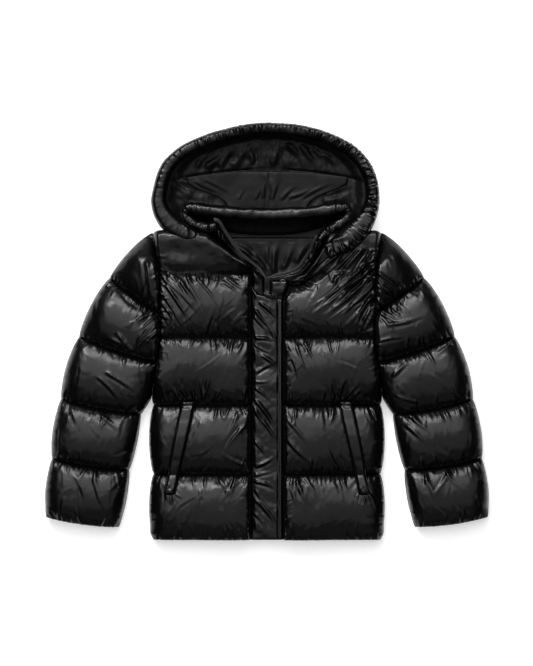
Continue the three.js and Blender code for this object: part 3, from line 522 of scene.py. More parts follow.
def gathersAt(place, away, length, seed, spacing=(5, 13), run=(9, 50), height=(1.3, 3.3),
              width=(2.0, 3.4)):
    # small folds that leave a seam: place(share) is a point on it, away(share) the way they run
    pick = random.Random(seed)
    folds, at = [], 3.0
    while at < length - 3:
        p, way = place(at / length), away(at / length)
        size = run[0] + (run[1] - run[0]) * pick.random() ** 2.2
        skew = pick.uniform(-0.45, 0.45)
        end = (p[0] + size * (way[0] - skew * way[1]), p[1] + size * (way[1] + skew * way[0]))
        tall = pick.uniform(*height) * (0.7 + 0.3 * size / run[1])
        start = (p[0] + 0.6 * way[0], p[1] + 0.6 * way[1])
        folds.append((start[0], start[1], end[0], end[1], tall, pick.uniform(*width)))
        at += pick.uniform(*spacing)
    return folds


def streaks(box, count, angle, seed, run=(30, 84), height=(0.3, 0.9), width=(2.6, 4.6)):
    # long faint folds all over a panel, about the same way; angle in degrees from +Y
    pick = random.Random(seed)
    folds = []
    for n in range(count):
        x, y = pick.uniform(box[0], box[2]), pick.uniform(box[1], box[3])
        turn = math.radians(angle + pick.gauss(0, 24))
        size = pick.uniform(*run) * pick.choice((-1, 1))
        folds.append((x, y, x + size * math.sin(turn), y + size * math.cos(turn),
                      pick.uniform(*height), pick.uniform(*width)))
    return folds


def fan(starts, ends, count, seed, height, width):
    # folds between two lines, each line two points; the chest pulls like this where the sleeve is set in
    pick = random.Random(seed)
    folds = []
    for n in range(count):
        t = (n + pick.uniform(0.2, 0.8)) / count
        a = [mix(starts[0][k], starts[1][k], t) + pick.uniform(-3, 3) for k in (0, 1)]
        b = [mix(ends[0][k], ends[1][k], t) + pick.uniform(-14, 14) for k in (0, 1)]
        folds.append((a[0], a[1], b[0], b[1], pick.uniform(*height), pick.uniform(*width)))
    return folds


# fronts

frontFolds = {
    "left": fan([(224, 318), (230, 214)], [(64, 196), (206, 152)], 14, 5, (3.6, 6.8), (2.4, 3.8))
    + fan([(222, 300), (228, 236)], [(120, 232), (176, 190)], 7, 6, (2.6, 5.0), (2.2, 3.6))
    + fan([(176, 338), (230, 316)], [(76, 262), (196, 214)], 9, 9, (3.0, 5.6), (2.6, 4.2))
    + [(60, 262, 112, 250, 3, 3), (64, 254, 104, 240, 2.5, 3), (54, 268, 96, 268, 2, 3),
       (150, 14, 168, 66, 4, 4), (158, 12, 196, 58, 3, 3), (140, 10, 128, 62, 3, 4),
       (174, 10, 206, 40, 3, 3),
       (60, 130, 92, 60, 2, 3), (78, 132, 104, 76, 2, 3), (54, 96, 66, 40, 2, 3),
       (42, -70, 110, -130, 2.5, 4), (44, -30, 96, -96, 2, 4), (150, -136, 120, -70, 2, 4),
       (60, -152, 96, -216, 2.5, 4), (80, -150, 108, -200, 2, 3), (46, -160, 60, -214, 2, 4)],
    "right": fan([(-214, 292), (-228, 208)], [(-104, 170), (-202, 150)], 8, 7, (1.4, 2.8), (2.2, 3.6))
    + fan([(-206, 268), (-150, 274)], [(-150, 196), (-90, 176)], 5, 8, (1.2, 2.6), (2.4, 4.0))
    + [(-86, 268, -42, 240, 3, 3), (-92, 258, -56, 232, 2.5, 3), (-74, 272, -38, 262, 2, 3),
       (-136, 8, -122, 74, 4, 4), (-128, 8, -140, 62, 3, 3), (-160, 10, -186, 56, 3, 3),
       (-178, 8, -206, 44, 3, 3), (-150, 12, -158, 48, 3, 3), (-110, 8, -92, 40, 3, 3),
       (-44, -40, -96, -112, 2.5, 4), (-60, -14, -84, -66, 2, 4), (-50, -124, -104, -92, 2, 4),
       (-60, -160, -100, -210, 2, 5), (-128, 150, -108, 210, 2, 4), (-100, -152, -70, -208, 2, 4)],
}
yokeLump = {"x": 182.0, "y": 297.0, "halfX": 32.0, "halfY": 17.0, "height": 5.0}  # on the right front
weltPlan = {
    "topY": 8.0, "lowY": -184.0, "topX": 164.0, "lowX": 204.0, "topHalf": 16.5, "lowHalf": 13.0,
    "length": 190.0, "rise": 11.0, "edgeRound": 9.0, "rows": 90, "columns": 12,
}


def underWelt(x, y):  # true where the pocket's welt is sewn down on a front
    t = (weltPlan["topY"] - y) / (weltPlan["topY"] - weltPlan["lowY"])
    if t < 0 or t > 1:
        return False
    half = mix(weltPlan["topHalf"], weltPlan["lowHalf"], t)
    return abs(abs(x) - mix(weltPlan["topX"], weltPlan["lowX"], t)) < half - 2


def fillWithDown(obj, points, first, held):  # quilted pieces; first is the plain face's first point
    spare = down["spare"]
    flat = [(p[0] * spare, p[1] * spare, 0 if n < first else -down["cutDepth"])
            for n, p in enumerate(points)]
    seat = list(range(first, len(points)))
    inflate(obj, held + seat, flat, down["pressure"], down["cap"], down["bend"])


def edgeFade(share):  # 0 at both long edges of a piece
    return ease(min(share, 1 - share) / 0.1)


def makeFront(side):
    sign = 1 if side == "left" else -1
    per, cols = body["rowsPerChannel"], body["columns"]
    rows = [c + k / per for c in range(4) for k in range(per)]
    rows += [4 + k / body["yokeRows"] for k in range(body["yokeRows"] + 1)]
    grid, held = [], []
    for i, row in enumerate(rows):
        line = []
        for j in range(cols + 1):
            even = j / cols
            share = mix(0.5 - 0.5 * math.cos(math.pi * even), even, 0.8)
            x, y, s = frontPlan(row, share, side)
            z = frontHeight(row, share, side)
            seam = abs(row - round(row)) < 1e-6
            if seam or j in (0, cols) or underWelt(x, y) or row > 4:
                held.append(i * (cols + 1) + j)
            if row > 4:
                offX = (x - yokeLump["x"]) / yokeLump["halfX"]
                offY = (y - yokeLump["y"]) / yokeLump["halfY"]
                lump = yokeLump["height"] * math.exp(-(offX ** 2 + offY ** 2)) if side == "right" else 0
                z += lump + edgeFade(share) * 1.6 * rough(x, y, 24, 5.0 + sign)
            if underWelt(x, y):
                z -= 1.5
            elif not seam:
                z += 0.9 * rough(x, y, 11, 3.0 + sign)
            line.append((sign * x, y, z))
        grid.append(line)
    seat = body["layerZ"] + body["gap"]
    points, faces, first = padParts(grid, seat)
    obj = faceOut(meshObject("puffed_front_" + side, points, faces, glossyNylon))
    fillWithDown(obj, points, first, held)
    return obj


def frontGathers(side):
    sign = 1 if side == "left" else -1
    folds = []
    for c in range(5):
        def place(share, c=c):
            x, y, s = frontPlan(c, 1 - share, side)
            return sign * x, y
        length = 200.0
        if c < 4:
            folds += gathersAt(place, lambda share: (0, 1), length, 10 * c + 3 + sign)
        if c > 0:
            folds += gathersAt(place, lambda share: (0, -1), length, 10 * c + 7 + sign, run=(10, 52))
    innerX = sign * (body["flapHalf"] + 1)
    folds += gathersAt(lambda share: (innerX, mix(-270, 260, share)), lambda share: (sign, 0.15), 530,
                       91 + sign, spacing=(14, 34), run=(8, 26), height=(0.8, 2.2))
    folds += gathersAt(lambda share: (sign * sideAt(mix(60, 340, share)), mix(60, 340, share)),
                       lambda share: (-sign, -0.3), 280, 95 + sign, spacing=(10, 24), run=(10, 40))
    folds += gathersAt(lambda share: (sign * sideAt(mix(-275, 30, share)), mix(-275, 30, share)),
                       lambda share: (-sign, 0.1), 300, 97 + sign, spacing=(14, 30), run=(10, 30))
    for c in range(4):
        low, high = body["seams"][c], body["seams"][c + 1]
        box = sorted((sign * 40, sign * 225))
        folds += streaks((box[0], low + 15, box[1], high - 15), 20, sign * -12, 500 + 10 * c + sign)
    for x, y, s in ((weltPlan["topX"], weltPlan["topY"], 1), (weltPlan["lowX"], weltPlan["lowY"], -1)):
        folds += gathersAt(lambda share: (sign * (x + mix(-16, 16, share)), y),
                           lambda share: (sign * mix(-0.7, 0.7, share), s), 40, 60 + s, spacing=(5, 9),
                           run=(12, 38), height=(1.5, 3.4))
    return folds


fronts = {side: makeFront(side) for side in ("left", "right")}
print("fronts cut")


# sleeves

sleeve = {
    "edges": [(241, 361, 228, 344), (282, 322, 222, 268), (330, 266, 220, 190), (364, 208, 220, 136),
              (394, 143, 222, 86), (416, 80, 240, 33), (432, 12, 266, -20), (444, -54, 280, -78),
              (451, -113, 291, -137), (459, -176, 302, -196), (464, -236, 312, -257)],
    "puff": 27.0, "seamRise": 11.0, "cuffRound": 16.0, "armholeRound": 18.0, "armholeLip": 11.0,
    "sidePuff": 7.0, "sag": 5.0, "rowsPerChannel": 32, "columns": 40,
}
outerEdge = splineThrough([(e[0], e[1], 0) for e in sleeve["edges"]])
innerEdge = splineThrough([(e[2], e[3], 0) for e in sleeve["edges"]])


def sleevePlan(row, share):
    s = row - min(4, int(row))
    bulge = sleeve["sidePuff"] * (max(puffShape(s), 0.75) if row >= 4 and s > 0.5 else puffShape(s))
    out, into = outerEdge(row / 5), innerEdge(row / 5)
    across = (into - out).normalized()
    width = (into - out).length
    free = ease((row - 2.3) / 0.5)
    corner = clamp(max(0, row * 30 - 150 + sleeve["cuffRound"]) / sleeve["cuffRound"])
    inset = sleeve["cuffRound"] * (1 - math.sqrt(1 - corner ** 2)) * 0.35
    out = out + across * (inset - bulge)
    into = into + across * ((bulge - inset) * free)
    sag = math.sin(math.pi * share) * sleeve["sag"] * ease(row)
    return mix(out.x, into.x, share), mix(out.y, into.y, share) - sag, s, width


def clearOfBody(x, y):  # keeps a sleeve's point outside the body's side
    if y > body["hemY"] and y < body["shoulderY"]:
        return max(x, sideAt(y) + 0.4)
    return x


def sleeveHeight(row, share):
    x, y, s, width = sleevePlan(row, share)
    atArmhole = 1 - ease((row - 1.8) / 0.6)
    lip = mix(body["lip"], 8, atArmhole * share) + sleeve["armholeLip"] * atArmhole * share
    lip *= mix(0.3, 1, ease(row / 0.5))
    inner = mix(body["edgeRound"], sleeve["armholeRound"], atArmhole)
    edge = quarterRound(share * width, body["edgeRound"]) * quarterRound((1 - share) * width, inner)
    cuff = max(puffShape(s), 0.25) if row > 4.5 else puffShape(s)
    rise = edge * (sleeve["seamRise"] + sleeve["puff"] * cuff) * mix(0.3, 1, ease(row / 0.55))
    return body["layerZ"] + body["gap"] + lip + rise


sleeveFolds = {
    "left": fan([(232, 276), (222, 196)], [(300, 226), (272, 150)], 9, 21, (1.8, 4.0), (2.2, 3.6))
    + [(300, 238, 246, 206, 4, 4), (250, 168, 330, 190, 3, 4), (262, 60, 300, 96, 3, 4),
       (226, 132, 290, 142, 3, 3), (286, -6, 350, -60, 3.4, 4), (290, -40, 340, -90, 3, 4),
       (330, -150, 360, -230, 2, 5), (270, 20, 330, 6, 3, 3), (380, -140, 340, -196, 2, 4),
       (392, 138, 350, 120, 3, 3), (388, 128, 352, 102, 3, 3)]
    + streaks((240, -250, 440, 240), 90, -18, 31),
    "right": fan([(-226, 228), (-222, 150)], [(-300, 180), (-270, 96)], 8, 22, (1.8, 4.0), (2.2, 3.6))
    + [(-312, 150, -270, 96, 4, 4), (-330, 140, -248, 92, 3, 4), (-300, 236, -250, 200, 3, 4),
       (-336, 70, -262, 20, 3, 4), (-352, 60, -300, -2, 3, 4), (-410, 0, -380, -60, 2, 5),
       (-350, -20, -300, -60, 2.4, 4), (-400, -146, -372, -220, 2, 5), (-360, -150, -330, -230, 2, 5),
       (-250, 300, -244, 230, 3, 5)]
    + streaks((-440, -250, -240, 240), 90, 18, 32),
}


def makeSleeveTop(side):
    sign = 1 if side == "left" else -1
    per, cols = sleeve["rowsPerChannel"], sleeve["columns"]
    rows = [c + k / per for c in range(5) for k in range(per)] + [5.0]
    grid, held = [], []
    for i, row in enumerate(rows):
        line = []
        for j in range(cols + 1):
            share = j / cols
            x, y, s, width = sleevePlan(row, share)
            z = sleeveHeight(row, share)
            seam = abs(row - round(row)) < 1e-6
            if seam or j in (0, cols):
                held.append(i * (cols + 1) + j)
            else:
                z += 0.8 * rough(x, y, 11, 7.0 + sign)
            line.append((sign * clearOfBody(x, y), y, z))
        grid.append(line)
    points, faces, first = padParts(grid, body["layerZ"] + body["gap"])
    obj = faceOut(meshObject("puffed_sleeve_top_" + side, points, faces, glossyNylon))
    fillWithDown(obj, points, first, held)
    return obj


def sleeveGathers(side):
    sign = 1 if side == "left" else -1
    folds = []

    def at(row, share):
        x, y, s, width = sleevePlan(clamp(row, 0, 5), share)
        return sign * x, y

    for c in range(1, 6):
        for turn in (-1, 1):
            if c == 5 and turn == 1:
                continue

            def away(share, c=c, turn=turn):
                a, b = at(c, share), at(c + 0.2 * turn, share)
                size = math.hypot(b[0] - a[0], b[1] - a[1])
                return (b[0] - a[0]) / size, (b[1] - a[1]) / size
            folds += gathersAt(lambda share, c=c: at(c, share), away, 150, 200 + 10 * c + turn + 4 * sign,
                               run=(10, 50))
    folds += gathersAt(lambda share: at(mix(0.3, 2.1, share), 1.0), lambda share: (sign * 0.9, -0.4), 250,
                       300 + sign, spacing=(9, 22), run=(12, 46))
    folds += gathersAt(lambda share: at(mix(0.5, 4.9, share), 0.0), lambda share: (-sign, 0.1), 640,
                       310 + sign, spacing=(18, 40), run=(10, 26), height=(0.8, 2.0))
    folds += gathersAt(lambda share: at(mix(2.5, 4.9, share), 1.0), lambda share: (sign, -0.1), 340,
                       320 + sign, spacing=(18, 36), run=(10, 28), height=(0.8, 2.0))
    return folds


def undersideZ(inset):
    return (body["layerZ"] - 3) * (0.8 if inset <= 0 else 1 - quarterRound(inset, 22))


under = {"groove": 11.0, "grooveRound": 24.0, "gather": 10.0, "gatherRun": 17.0, "steps": 26}


def undersideRows():  # rows of five channels, closer together near their seams
    steps = under["steps"]
    return [c + 0.5 - 0.5 * math.cos(math.pi * k / steps) for c in range(5) for k in range(steps)] + [5.0]


def undersideQuilt(row, x, y, z, channel):  # grooves along the seams, with the cloth gathered into them
    off = abs(row - round(row)) * channel
    if not 0.4 < row < 4.6:
        return z
    groove = under["groove"] * (1 - quarterRound(off, under["grooveRound"]))
    crimp = max(0, 0.15 + rough(x, y * 0.3, 9, 15.0))
    folds = under["gather"] * math.exp(-off / under["gatherRun"]) * crimp
    return z + (groove + folds * ease(off / 5)) * max(0, 1 - z / 18)


def makeSleeveUnder(side):
    sign = 1 if side == "left" else -1
    rows = undersideRows()
    shares = [0.5 - 0.5 * math.cos(math.pi * mix(0.08, 0.92, k / 42)) for k in range(43)]
    shares = [0, 0.005] + shares + [0.995, 1]
    grid = []
    for row in rows:
        line = []
        for share in shares:
            x, y, s, width = sleevePlan(row, share)
            inset = min(share * width, (1 - share) * width, (5 - row) * 120)
            z = undersideZ(inset)
            if 0 < inset < 20:
                z += 1.2 * rough(x, y, 9, 5.0) * (1 if s < 0.3 or s > 0.7 else 0.4)
            z = undersideQuilt(row, x, y, z, 130) + 1.6 * max(0, rough(x, y * 0.6, 30, 6.0) - 0.05)
            line.append((sign * clearOfBody(x, y), y, max(0, z)))
        grid.append(line)
    points, faces, first = padParts(grid, body["layerZ"])
    return finishSmooth(faceOut(meshObject("sleeve_under_cloth_" + side, points, faces, glossyNylon)), 0)


sleeveTops = {side: makeSleeveTop(side) for side in ("left", "right")}
sleeveUnders = {side: makeSleeveUnder(side) for side in ("left", "right")}
print("sleeves cut")


# back

def makeBack():
    rows = undersideRows()
    shares = [0, 0.006, 0.014, 0.025] + [mix(0.036, 0.964, k / 100) for k in range(101)]
    shares += [0.975, 0.986, 0.994, 1]
    grid = []
    for row in rows:
        line = []
        for share in shares:
            side, y, s = frontPlan(row, 0, "right")
            x = mix(-side, side, share)
            inset = min(share * 2 * side, (1 - share) * 2 * side, y - body["hemY"])
            z = undersideZ(inset)
            if 0 < inset < 20:
                z += 1.2 * rough(x, y, 9, 9.0)
            y = min(y, body["shoulderY"])
            z = undersideQuilt(row, x, y, z, 140) + 1.6 * max(0, rough(x, y * 0.6, 34, 10.0) - 0.05)
            line.append((x, y, max(0, z)))
        grid.append(line)
    points, faces, first = padParts(grid, body["layerZ"])
    return finishSmooth(faceOut(meshObject("back_panel", points, faces, glossyNylon)), 0)


back = makeBack()


# storm flap

flap = {
    "seatZ": 28.4, "rim": 4.0, "crown": 9.0, "half": 33.0, "rows": 190, "columns": 22,
    "pressure": 2.0, "cap": 6.0, "spareX": 1.07, "spareY": 1.09, "cutDepth": 5.0,
    "top": [(-33.3, 252), (-22, 234), (0, 229), (33.3, 222)],
    "freeEdgeX": 25.0, "foldedEdgeX": -28.5, "stitchDepth": 4.5, "stitchHalf": 1.8, "stitchZ": 38.2,
    "folds": [
        (-14, 214, 24, 176, 3.4, 3.4), (-24, 200, 12, 158, 3, 2.8), (-26, 184, 2, 150, 2.4, 2.4),
        (-26, 140, 22, 134, 3.2, 2.6), (-26, 126, 14, 108, 2, 2.4), (-10, 104, 24, 78, 2.4, 3),
        (-26, 66, 22, 90, 3, 3), (-26, 48, 10, 52, 2, 2.2), (-24, 36, 14, 4, 2.6, 3),
        (-24, 10, 20, -58, 4, 3.6), (-26, -8, 4, -50, 2.4, 2.4), (-8, -34, 24, -84, 3, 3),
        (-26, -76, 2, -114, 2.4, 2.8), (-26, -130, 24, -102, 3, 3.2),
        (-26, -148, 12, -140, 2.4, 2.4), (-26, -160, 22, -176, 3.2, 3),
        (-24, -178, 6, -216, 2.4, 2.6), (-20, -200, 24, -256, 3.4, 3.6),
        (-26, -226, 4, -268, 2.4, 2.8), (20, 128, 2, 168, 2, 2.6),
    ],
}


def makeFlap():  # left plain, it crumples more than the quilted panels
    rows, cols = flap["rows"], flap["columns"]
    grid, held = [], []
    for i in range(rows + 1):
        t = i / rows
        line = []
        for j in range(cols + 1):
            share = j / cols
            x = mix(-flap["half"], flap["half"], share)
            y = mix(body["hemY"], along(flap["top"], x), t)
            inset = min(share, 1 - share) * 2 * flap["half"]
            endOff = min(y - body["hemY"], (1 - t) * 520)
            edge = quarterRound(inset + 1.2, 7) * quarterRound(endOff + 2, 9)
            groove = sum(math.exp(-((x - flap[name]) / flap["stitchHalf"]) ** 2)
                         for name in ("freeEdgeX", "foldedEdgeX"))
            wrinkle = 4.0 * rough(x * 0.8 + y * 0.6, y * 0.8, 24, 1.0) + 0.8 * rough(x, y, 9, 2.0)
            inside = ease(min(x - flap["foldedEdgeX"], flap["freeEdgeX"] - x) / 5)
            z = flap["seatZ"] + flap["rim"]
            z += edge * (flap["crown"] - flap["stitchDepth"] * groove + inside * wrinkle)
            if j in (0, cols) or i in (0, rows) or groove > 0.6:
                held.append(i * (cols + 1) + j)
            line.append((x, y, z))
        grid.append(line)
    grid = np.array(grid)
    edgeOff = np.minimum(grid[..., 0] - flap["foldedEdgeX"], flap["freeEdgeX"] - grid[..., 0])
    lift = 1.7 * foldLift(flap["folds"], grid[..., 0], grid[..., 1])
    grid[..., 2] += lift * np.clip(edgeOff / 5, 0, 1)
    grid = [[tuple(p) for p in line] for line in grid]
    points, faces, first = padParts(grid, flap["seatZ"])
    obj = faceOut(meshObject("storm_flap_cloth", points, faces, glossyNylon))
    held += list(range(first, len(points)))
    flat = [(p[0] * flap["spareX"], p[1] * flap["spareY"], 0 if n < first else -flap["cutDepth"])
            for n, p in enumerate(points)]
    inflate(obj, held, flat, flap["pressure"], flap["cap"])
    return obj


stormFlap = makeFlap()


# collar

# each row: the seam's x, y, z, the free edge's x, y, z, and half the thickness
collarRows = [
    (-12, 275, 30, -18, 281, 31, 2.2), (-30, 293, 31, -38, 298, 34, 3.4),
    (-50, 307, 33, -59, 316, 39, 4.4), (-67, 321, 35, -79, 343, 48, 5.2),
    (-84, 334, 36, -94, 366, 57, 6), (-100, 346, 37, -106, 383, 64, 6.4),
    (-116, 357, 38, -126, 378, 63, 6.4), (-133, 367, 38, -146, 380, 63, 6),
    (-148, 374, 37, -164, 389, 63, 5.4), (-156, 382, 34, -176, 402, 63, 5.2),
    (-151, 389, 31, -168, 418, 66, 5.6), (-136, 384, 30, -146, 419, 69, 6.2),
    (-108, 370, 29.5, -112, 416, 69, 7), (-60, 358, 29, -60, 412, 68, 7),
    (0, 355, 29, 0, 410, 67, 7), (60, 358, 29, 60, 412, 68, 7), (108, 370, 29.5, 114, 416, 69, 7),
    (134, 384, 30, 146, 420, 69, 6.2), (150, 390, 31, 168, 418, 66, 5.4),
    (156, 382, 34, 173, 402, 63, 5), (149, 373, 37, 162, 388, 62, 5.4),
    (135, 364, 38, 143, 378, 62, 6), (124, 352, 38, 122, 366, 62, 6),
    (114, 334, 37, 104, 348, 58, 6), (103, 314, 35, 93, 324, 48, 5.4),
    (89, 293, 34, 79, 300, 41, 4.6), (68, 275, 33, 62, 283, 37, 3.8),
    (42, 268.5, 32.5, 39, 274, 34, 3), (18, 267, 31, 17, 269, 32, 2.2),
]
seamLine = splineThrough([r[0:3] for r in collarRows])
freeEdge = splineThrough([r[3:6] for r in collarRows])
collarHalf = [(n / (len(collarRows) - 1), r[6]) for n, r in enumerate(collarRows)]
# the free edge's roll, and how fast its gathers follow each other and drift
collarSizes = {"stations": 300, "around": 32, "roll": 6.5, "gathers": 520.0, "drift": 61.0}


def makeCollar():
    stations, around = collarSizes["stations"], collarSizes["around"]
    rings = []
    for n in range(stations + 1):
        t = n / stations
        low, high = seamLine(t), freeEdge(t)
        before, after = max(0, t - 0.003), min(1, t + 0.003)
        run = seamLine(after) - seamLine(before) + freeEdge(after) - freeEdge(before)
        up = high - low
        side = run.normalized().cross(up).normalized()
        half = along(collarHalf, t)
        rise = up.normalized()
        # the free edge turns over into a thick roll
        roll = half + collarSizes["roll"] * ease((half - 4.6) / 1.6)
        roll = min(roll, up.length * 0.34)
        heart = high - rise * roll
        neck = high - rise * (1.67 * roll)
        crumpled = 1 + 1.0 * math.exp(-((t - 0.82) / 0.05) ** 2)
        phase = t * collarSizes["gathers"] + 3.5 * math.sin(t * collarSizes["drift"])
        beat = math.sin(phase)
        ring = []
        for k in range(around):
            f = k / around
            if f < 0.6:
                turn = mix(-2.3, 2.3, f / 0.6)
                gather = 0.7 * math.sin(phase + 1.2 * turn) * ease(roll / 9)
                gather += 2.6 * rough(t * 1000, turn * 11, 14, 4.0) * ease(roll / 8) * crumpled
                r = roll + gather
                px = heart + rise * (r * math.cos(turn)) + side * (r * math.sin(turn))
            else:
                g = (f - 0.6) / 0.4
                v = abs(2 * g - 1)
                thick = mix(half, 0.745 * roll, v ** 3) * quarterRound(v + 0.03, 0.3)
                thick += 0.9 * beat * min(1, half / 6) * (1 - v)
                px = low + (neck - low) * v + side * (thick * (1 if g < 0.5 else -1))
            ring.append(tuple(px))
        rings.append(ring)
    points, faces = tubeParts(rings)
    obj = faceOut(meshObject("stand_collar", points, faces, glossyNylon))
    return finishSmooth(obj)


collar = makeCollar()
print("collar sewn")


# hood rim

rimSizes = {"length": 1560.0, "stations": 300, "around": 28, "endRound": 12.0, "spare": 1.12, "cap": 6.0,
            "heart": (0.0, 450.0, 60.0)}
# each row: the tube's middle x, y, z, half its width and half its height
rimRows = [
    (124, 320, 60, 15, 13), (153, 336, 62, 23, 17), (178, 354, 62, 25, 18), (201, 380, 61, 22, 19),
    (214, 405, 60, 18, 20), (220, 433, 60, 15.5, 21), (217, 468, 60, 14, 22), (204, 499, 61, 14, 22),
    (181, 526, 62, 13.5, 23), (156, 543, 62, 13, 23), (115, 561, 63, 12.5, 24),
    (69, 572, 63, 12.5, 24), (23, 577, 63, 12.5, 24), (-26, 576, 63, 12.5, 24),
    (-71, 568, 63, 12.5, 24), (-122, 553, 62, 13, 23), (-169, 532, 62, 13.5, 23),
    (-193, 514, 61, 14, 22), (-211, 490, 60, 14.5, 22), (-222, 455, 60, 15, 21),
    (-225, 421, 60, 17, 20), (-207, 386, 60, 21, 18), (-170, 360, 60, 17, 15), (-138, 353, 57, 7, 9),
]
rimLine = splineThrough([r[0:3] for r in rimRows])
rimHalf = [(n / (len(rimRows) - 1), r[3]) for n, r in enumerate(rimRows)]
rimTall = [(n / (len(rimRows) - 1), r[4]) for n, r in enumerate(rimRows)]


def makeRim():
    stations, around = rimSizes["stations"], rimSizes["around"]
    rings, held = [], []
    for n in range(stations + 1):
        t = n / stations
        middle = rimLine(t)
        run = rimLine(min(1, t + 0.003)) - rimLine(max(0, t - 0.003))
        across = Vector((run.y, -run.x, 0)).normalized()
        half, tall = along(rimHalf, t), along(rimTall, t)
        closing = quarterRound(min(t, 1 - t) * rimSizes["length"] + 3, rimSizes["endRound"])
        half, tall = half * closing, tall * closing
        ring = []
        for k in range(around):
            turn = 2 * math.pi * k / around
            swell = 1 + 0.02 * rough(t * 700, turn * 3, 9, 6.0)
            c, u = math.cos(turn), math.sin(turn)
            p = middle + across * (half * swell * math.copysign(abs(c) ** 0.75, c))
            p += Vector((0, 0, tall * swell * math.copysign(abs(u) ** 0.9, u)))
            ring.append(tuple(p))
            if k in (0, around // 2):  # the two seams, outside and inside
                held.append(n * around + k)
        rings.append(ring)
    points, faces = tubeParts(rings)
    held += list(range(around)) + list(range(stations * around, len(points)))
    obj = faceOut(meshObject("hood_rim_tube", points, faces, glossyNylon))
    heart = np.array(rimSizes["heart"])
    flat = heart + (np.array(points) - heart) * rimSizes["spare"]
    inflate(obj, held, flat, down["pressure"], rimSizes["cap"], down["bend"])
    return obj


def rimGathers():
    folds = []
    length = rimSizes["length"]

    def frame(t):
        run = rimLine(min(1, t + 0.003)) - rimLine(max(0, t - 0.003))
        return rimLine(t), Vector((run.y, -run.x, 0)).normalized(), along(rimHalf, t)

    def inner(t):
        p, across, half = frame(t)
        return p.x + across.x * half * 0.9, p.y + across.y * half * 0.9

    def outer(t):
        p, across, half = frame(t)
        return p.x - across.x * half * 0.9, p.y - across.y * half * 0.9

    def outward(t):
        across = frame(t)[1]
        return -across.x, -across.y

    def inward(t):
        across = frame(t)[1]
        return across.x, across.y

    def calm(x, y):  # fewer creases at the wearer's right, more at the far left
        return mix(0.22, 1.0, ease((x + 190) / 80)) * mix(1.0, 1.2, ease((x - 150) / 40))

    folds += gathersAt(inner, outward, length, 401, spacing=(6, 15), run=(12, 40), height=(1.8, 3.8),
                       width=(2.2, 3.8))
    folds += gathersAt(inner, outward, length, 402, spacing=(16, 44), run=(16, 36), height=(1.6, 3.4),
                       width=(3, 5))
    folds += gathersAt(outer, inward, length, 403, spacing=(14, 40), run=(8, 26), height=(0.8, 2.0))
    folds = [(a, b, c, d, h * calm(a, b), w) for a, b, c, d, h, w in folds]
    folds += [(118, 312, 136, 330, 3, 3.4), (110, 326, 140, 340, 3, 3.6), (130, 306, 156, 326, 3, 4),
              (136, 344, 176, 356, 3, 4), (150, 318, 182, 344, 3, 4)]
    return folds


hoodRim = makeRim()


# hood shell, lining and facing

hoodMiddle = (0.0, 450.0)
hoodAround = {"shell": 300, "lining": 360}  # points in each ring
outline = [(r[0], r[1]) for r in rimRows[3:-2]]
outline += [(-190, 364), (-150, 340), (0, 336), (150, 340), (192, 362)]


def hoodReach(angle):
    dx, dy = math.cos(angle), math.sin(angle)
    for n, a in enumerate(outline):
        b = outline[(n + 1) % len(outline)]
        ex, ey = b[0] - a[0], b[1] - a[1]
        fx, fy = a[0] - hoodMiddle[0], a[1] - hoodMiddle[1]
        across = dx * ey - dy * ex
        if abs(across) < 1e-9:
            continue
        where = (fx * dy - fy * dx) / across
        distance = (fx * ey - fy * ex) / across
        if 0 <= where <= 1 and distance > 0:
            return distance
    return 1.0


def hoodShare(x, y):
    dx, dy = x - hoodMiddle[0], y - hoodMiddle[1]
    return math.hypot(dx, dy) / hoodReach(math.atan2(dy, dx))


def hoodRise(y):
    return ease((y - 372) / 50)


def shellInside(share, y):
    return 20 + 17 * hoodRise(y) * clamp((share - 0.55) / 0.45) ** 2


def shellOutside(share, y):
    return 25 * hoodRise(y) * clamp((share - 0.72) / 0.28) ** 1.6


def aboveBack(y):  # the hood's skins stop at the neck seam
    return max(y, body["shoulderY"] + 0.4)


def hoodRing(share, height, around, lift=0.0):
    ring = []
    for n in range(around):
        angle = 2 * math.pi * n / around
        reach = hoodReach(angle) * share
        x, y = hoodMiddle[0] + reach * math.cos(angle), hoodMiddle[1] + reach * math.sin(angle)
        ring.append((x, aboveBack(y), height(share, y) + lift))
    return ring


def makeShell():
    around = hoodAround["shell"]
    shares = [0.05, 0.2, 0.4, 0.55, 0.65, 0.7] + [0.73 + 0.01 * k for k in range(27)]
    rings = [hoodRing(s, shellOutside, around) for s in shares]
    rings += [hoodRing(s, shellInside, around) for s in (0.99, 0.9, 0.75, 0.55, 0.3, 0.05)]
    points, faces = tubeParts(rings)
    obj = faceOut(meshObject("hood_shell_cloth", points, faces, glossyNylon))
    p = pointsOf(obj)
    free = (p[:, 2] > 2) & (np.arange(len(p)) < len(shares) * around)
    p[free, 2] += 1.8 * roughAt(p[free, 0], p[free, 1], 11, 11.0)
    setPoints(obj, p)
    return finishSmooth(obj, 0)


liningFolds = [
    (-150, 500, -112, 536, 4, 4), (-128, 498, -84, 542, 4.5, 4.5), (-100, 500, -66, 545, 4, 4),
    (-70, 500, -30, 548, 4, 5), (-30, 506, -44, 548, 3, 4), (10, 504, 30, 550, 3.5, 5),
    (40, 548, 86, 505, 4, 4.5), (70, 548, 108, 506, 4, 4), (96, 540, 132, 500, 4, 4),
    (120, 528, 150, 496, 3.5, 4), (-196, 462, -118, 430, 3.5, 4), (-200, 446, -130, 422, 3, 4),
    (-190, 478, -150, 452, 3, 4), (114, 428, 190, 452, 3.5, 4), (120, 440, 196, 468, 3, 4),
    (130, 418, 196, 436, 3, 4), (-176, 430, -110, 412, 3, 4),
]


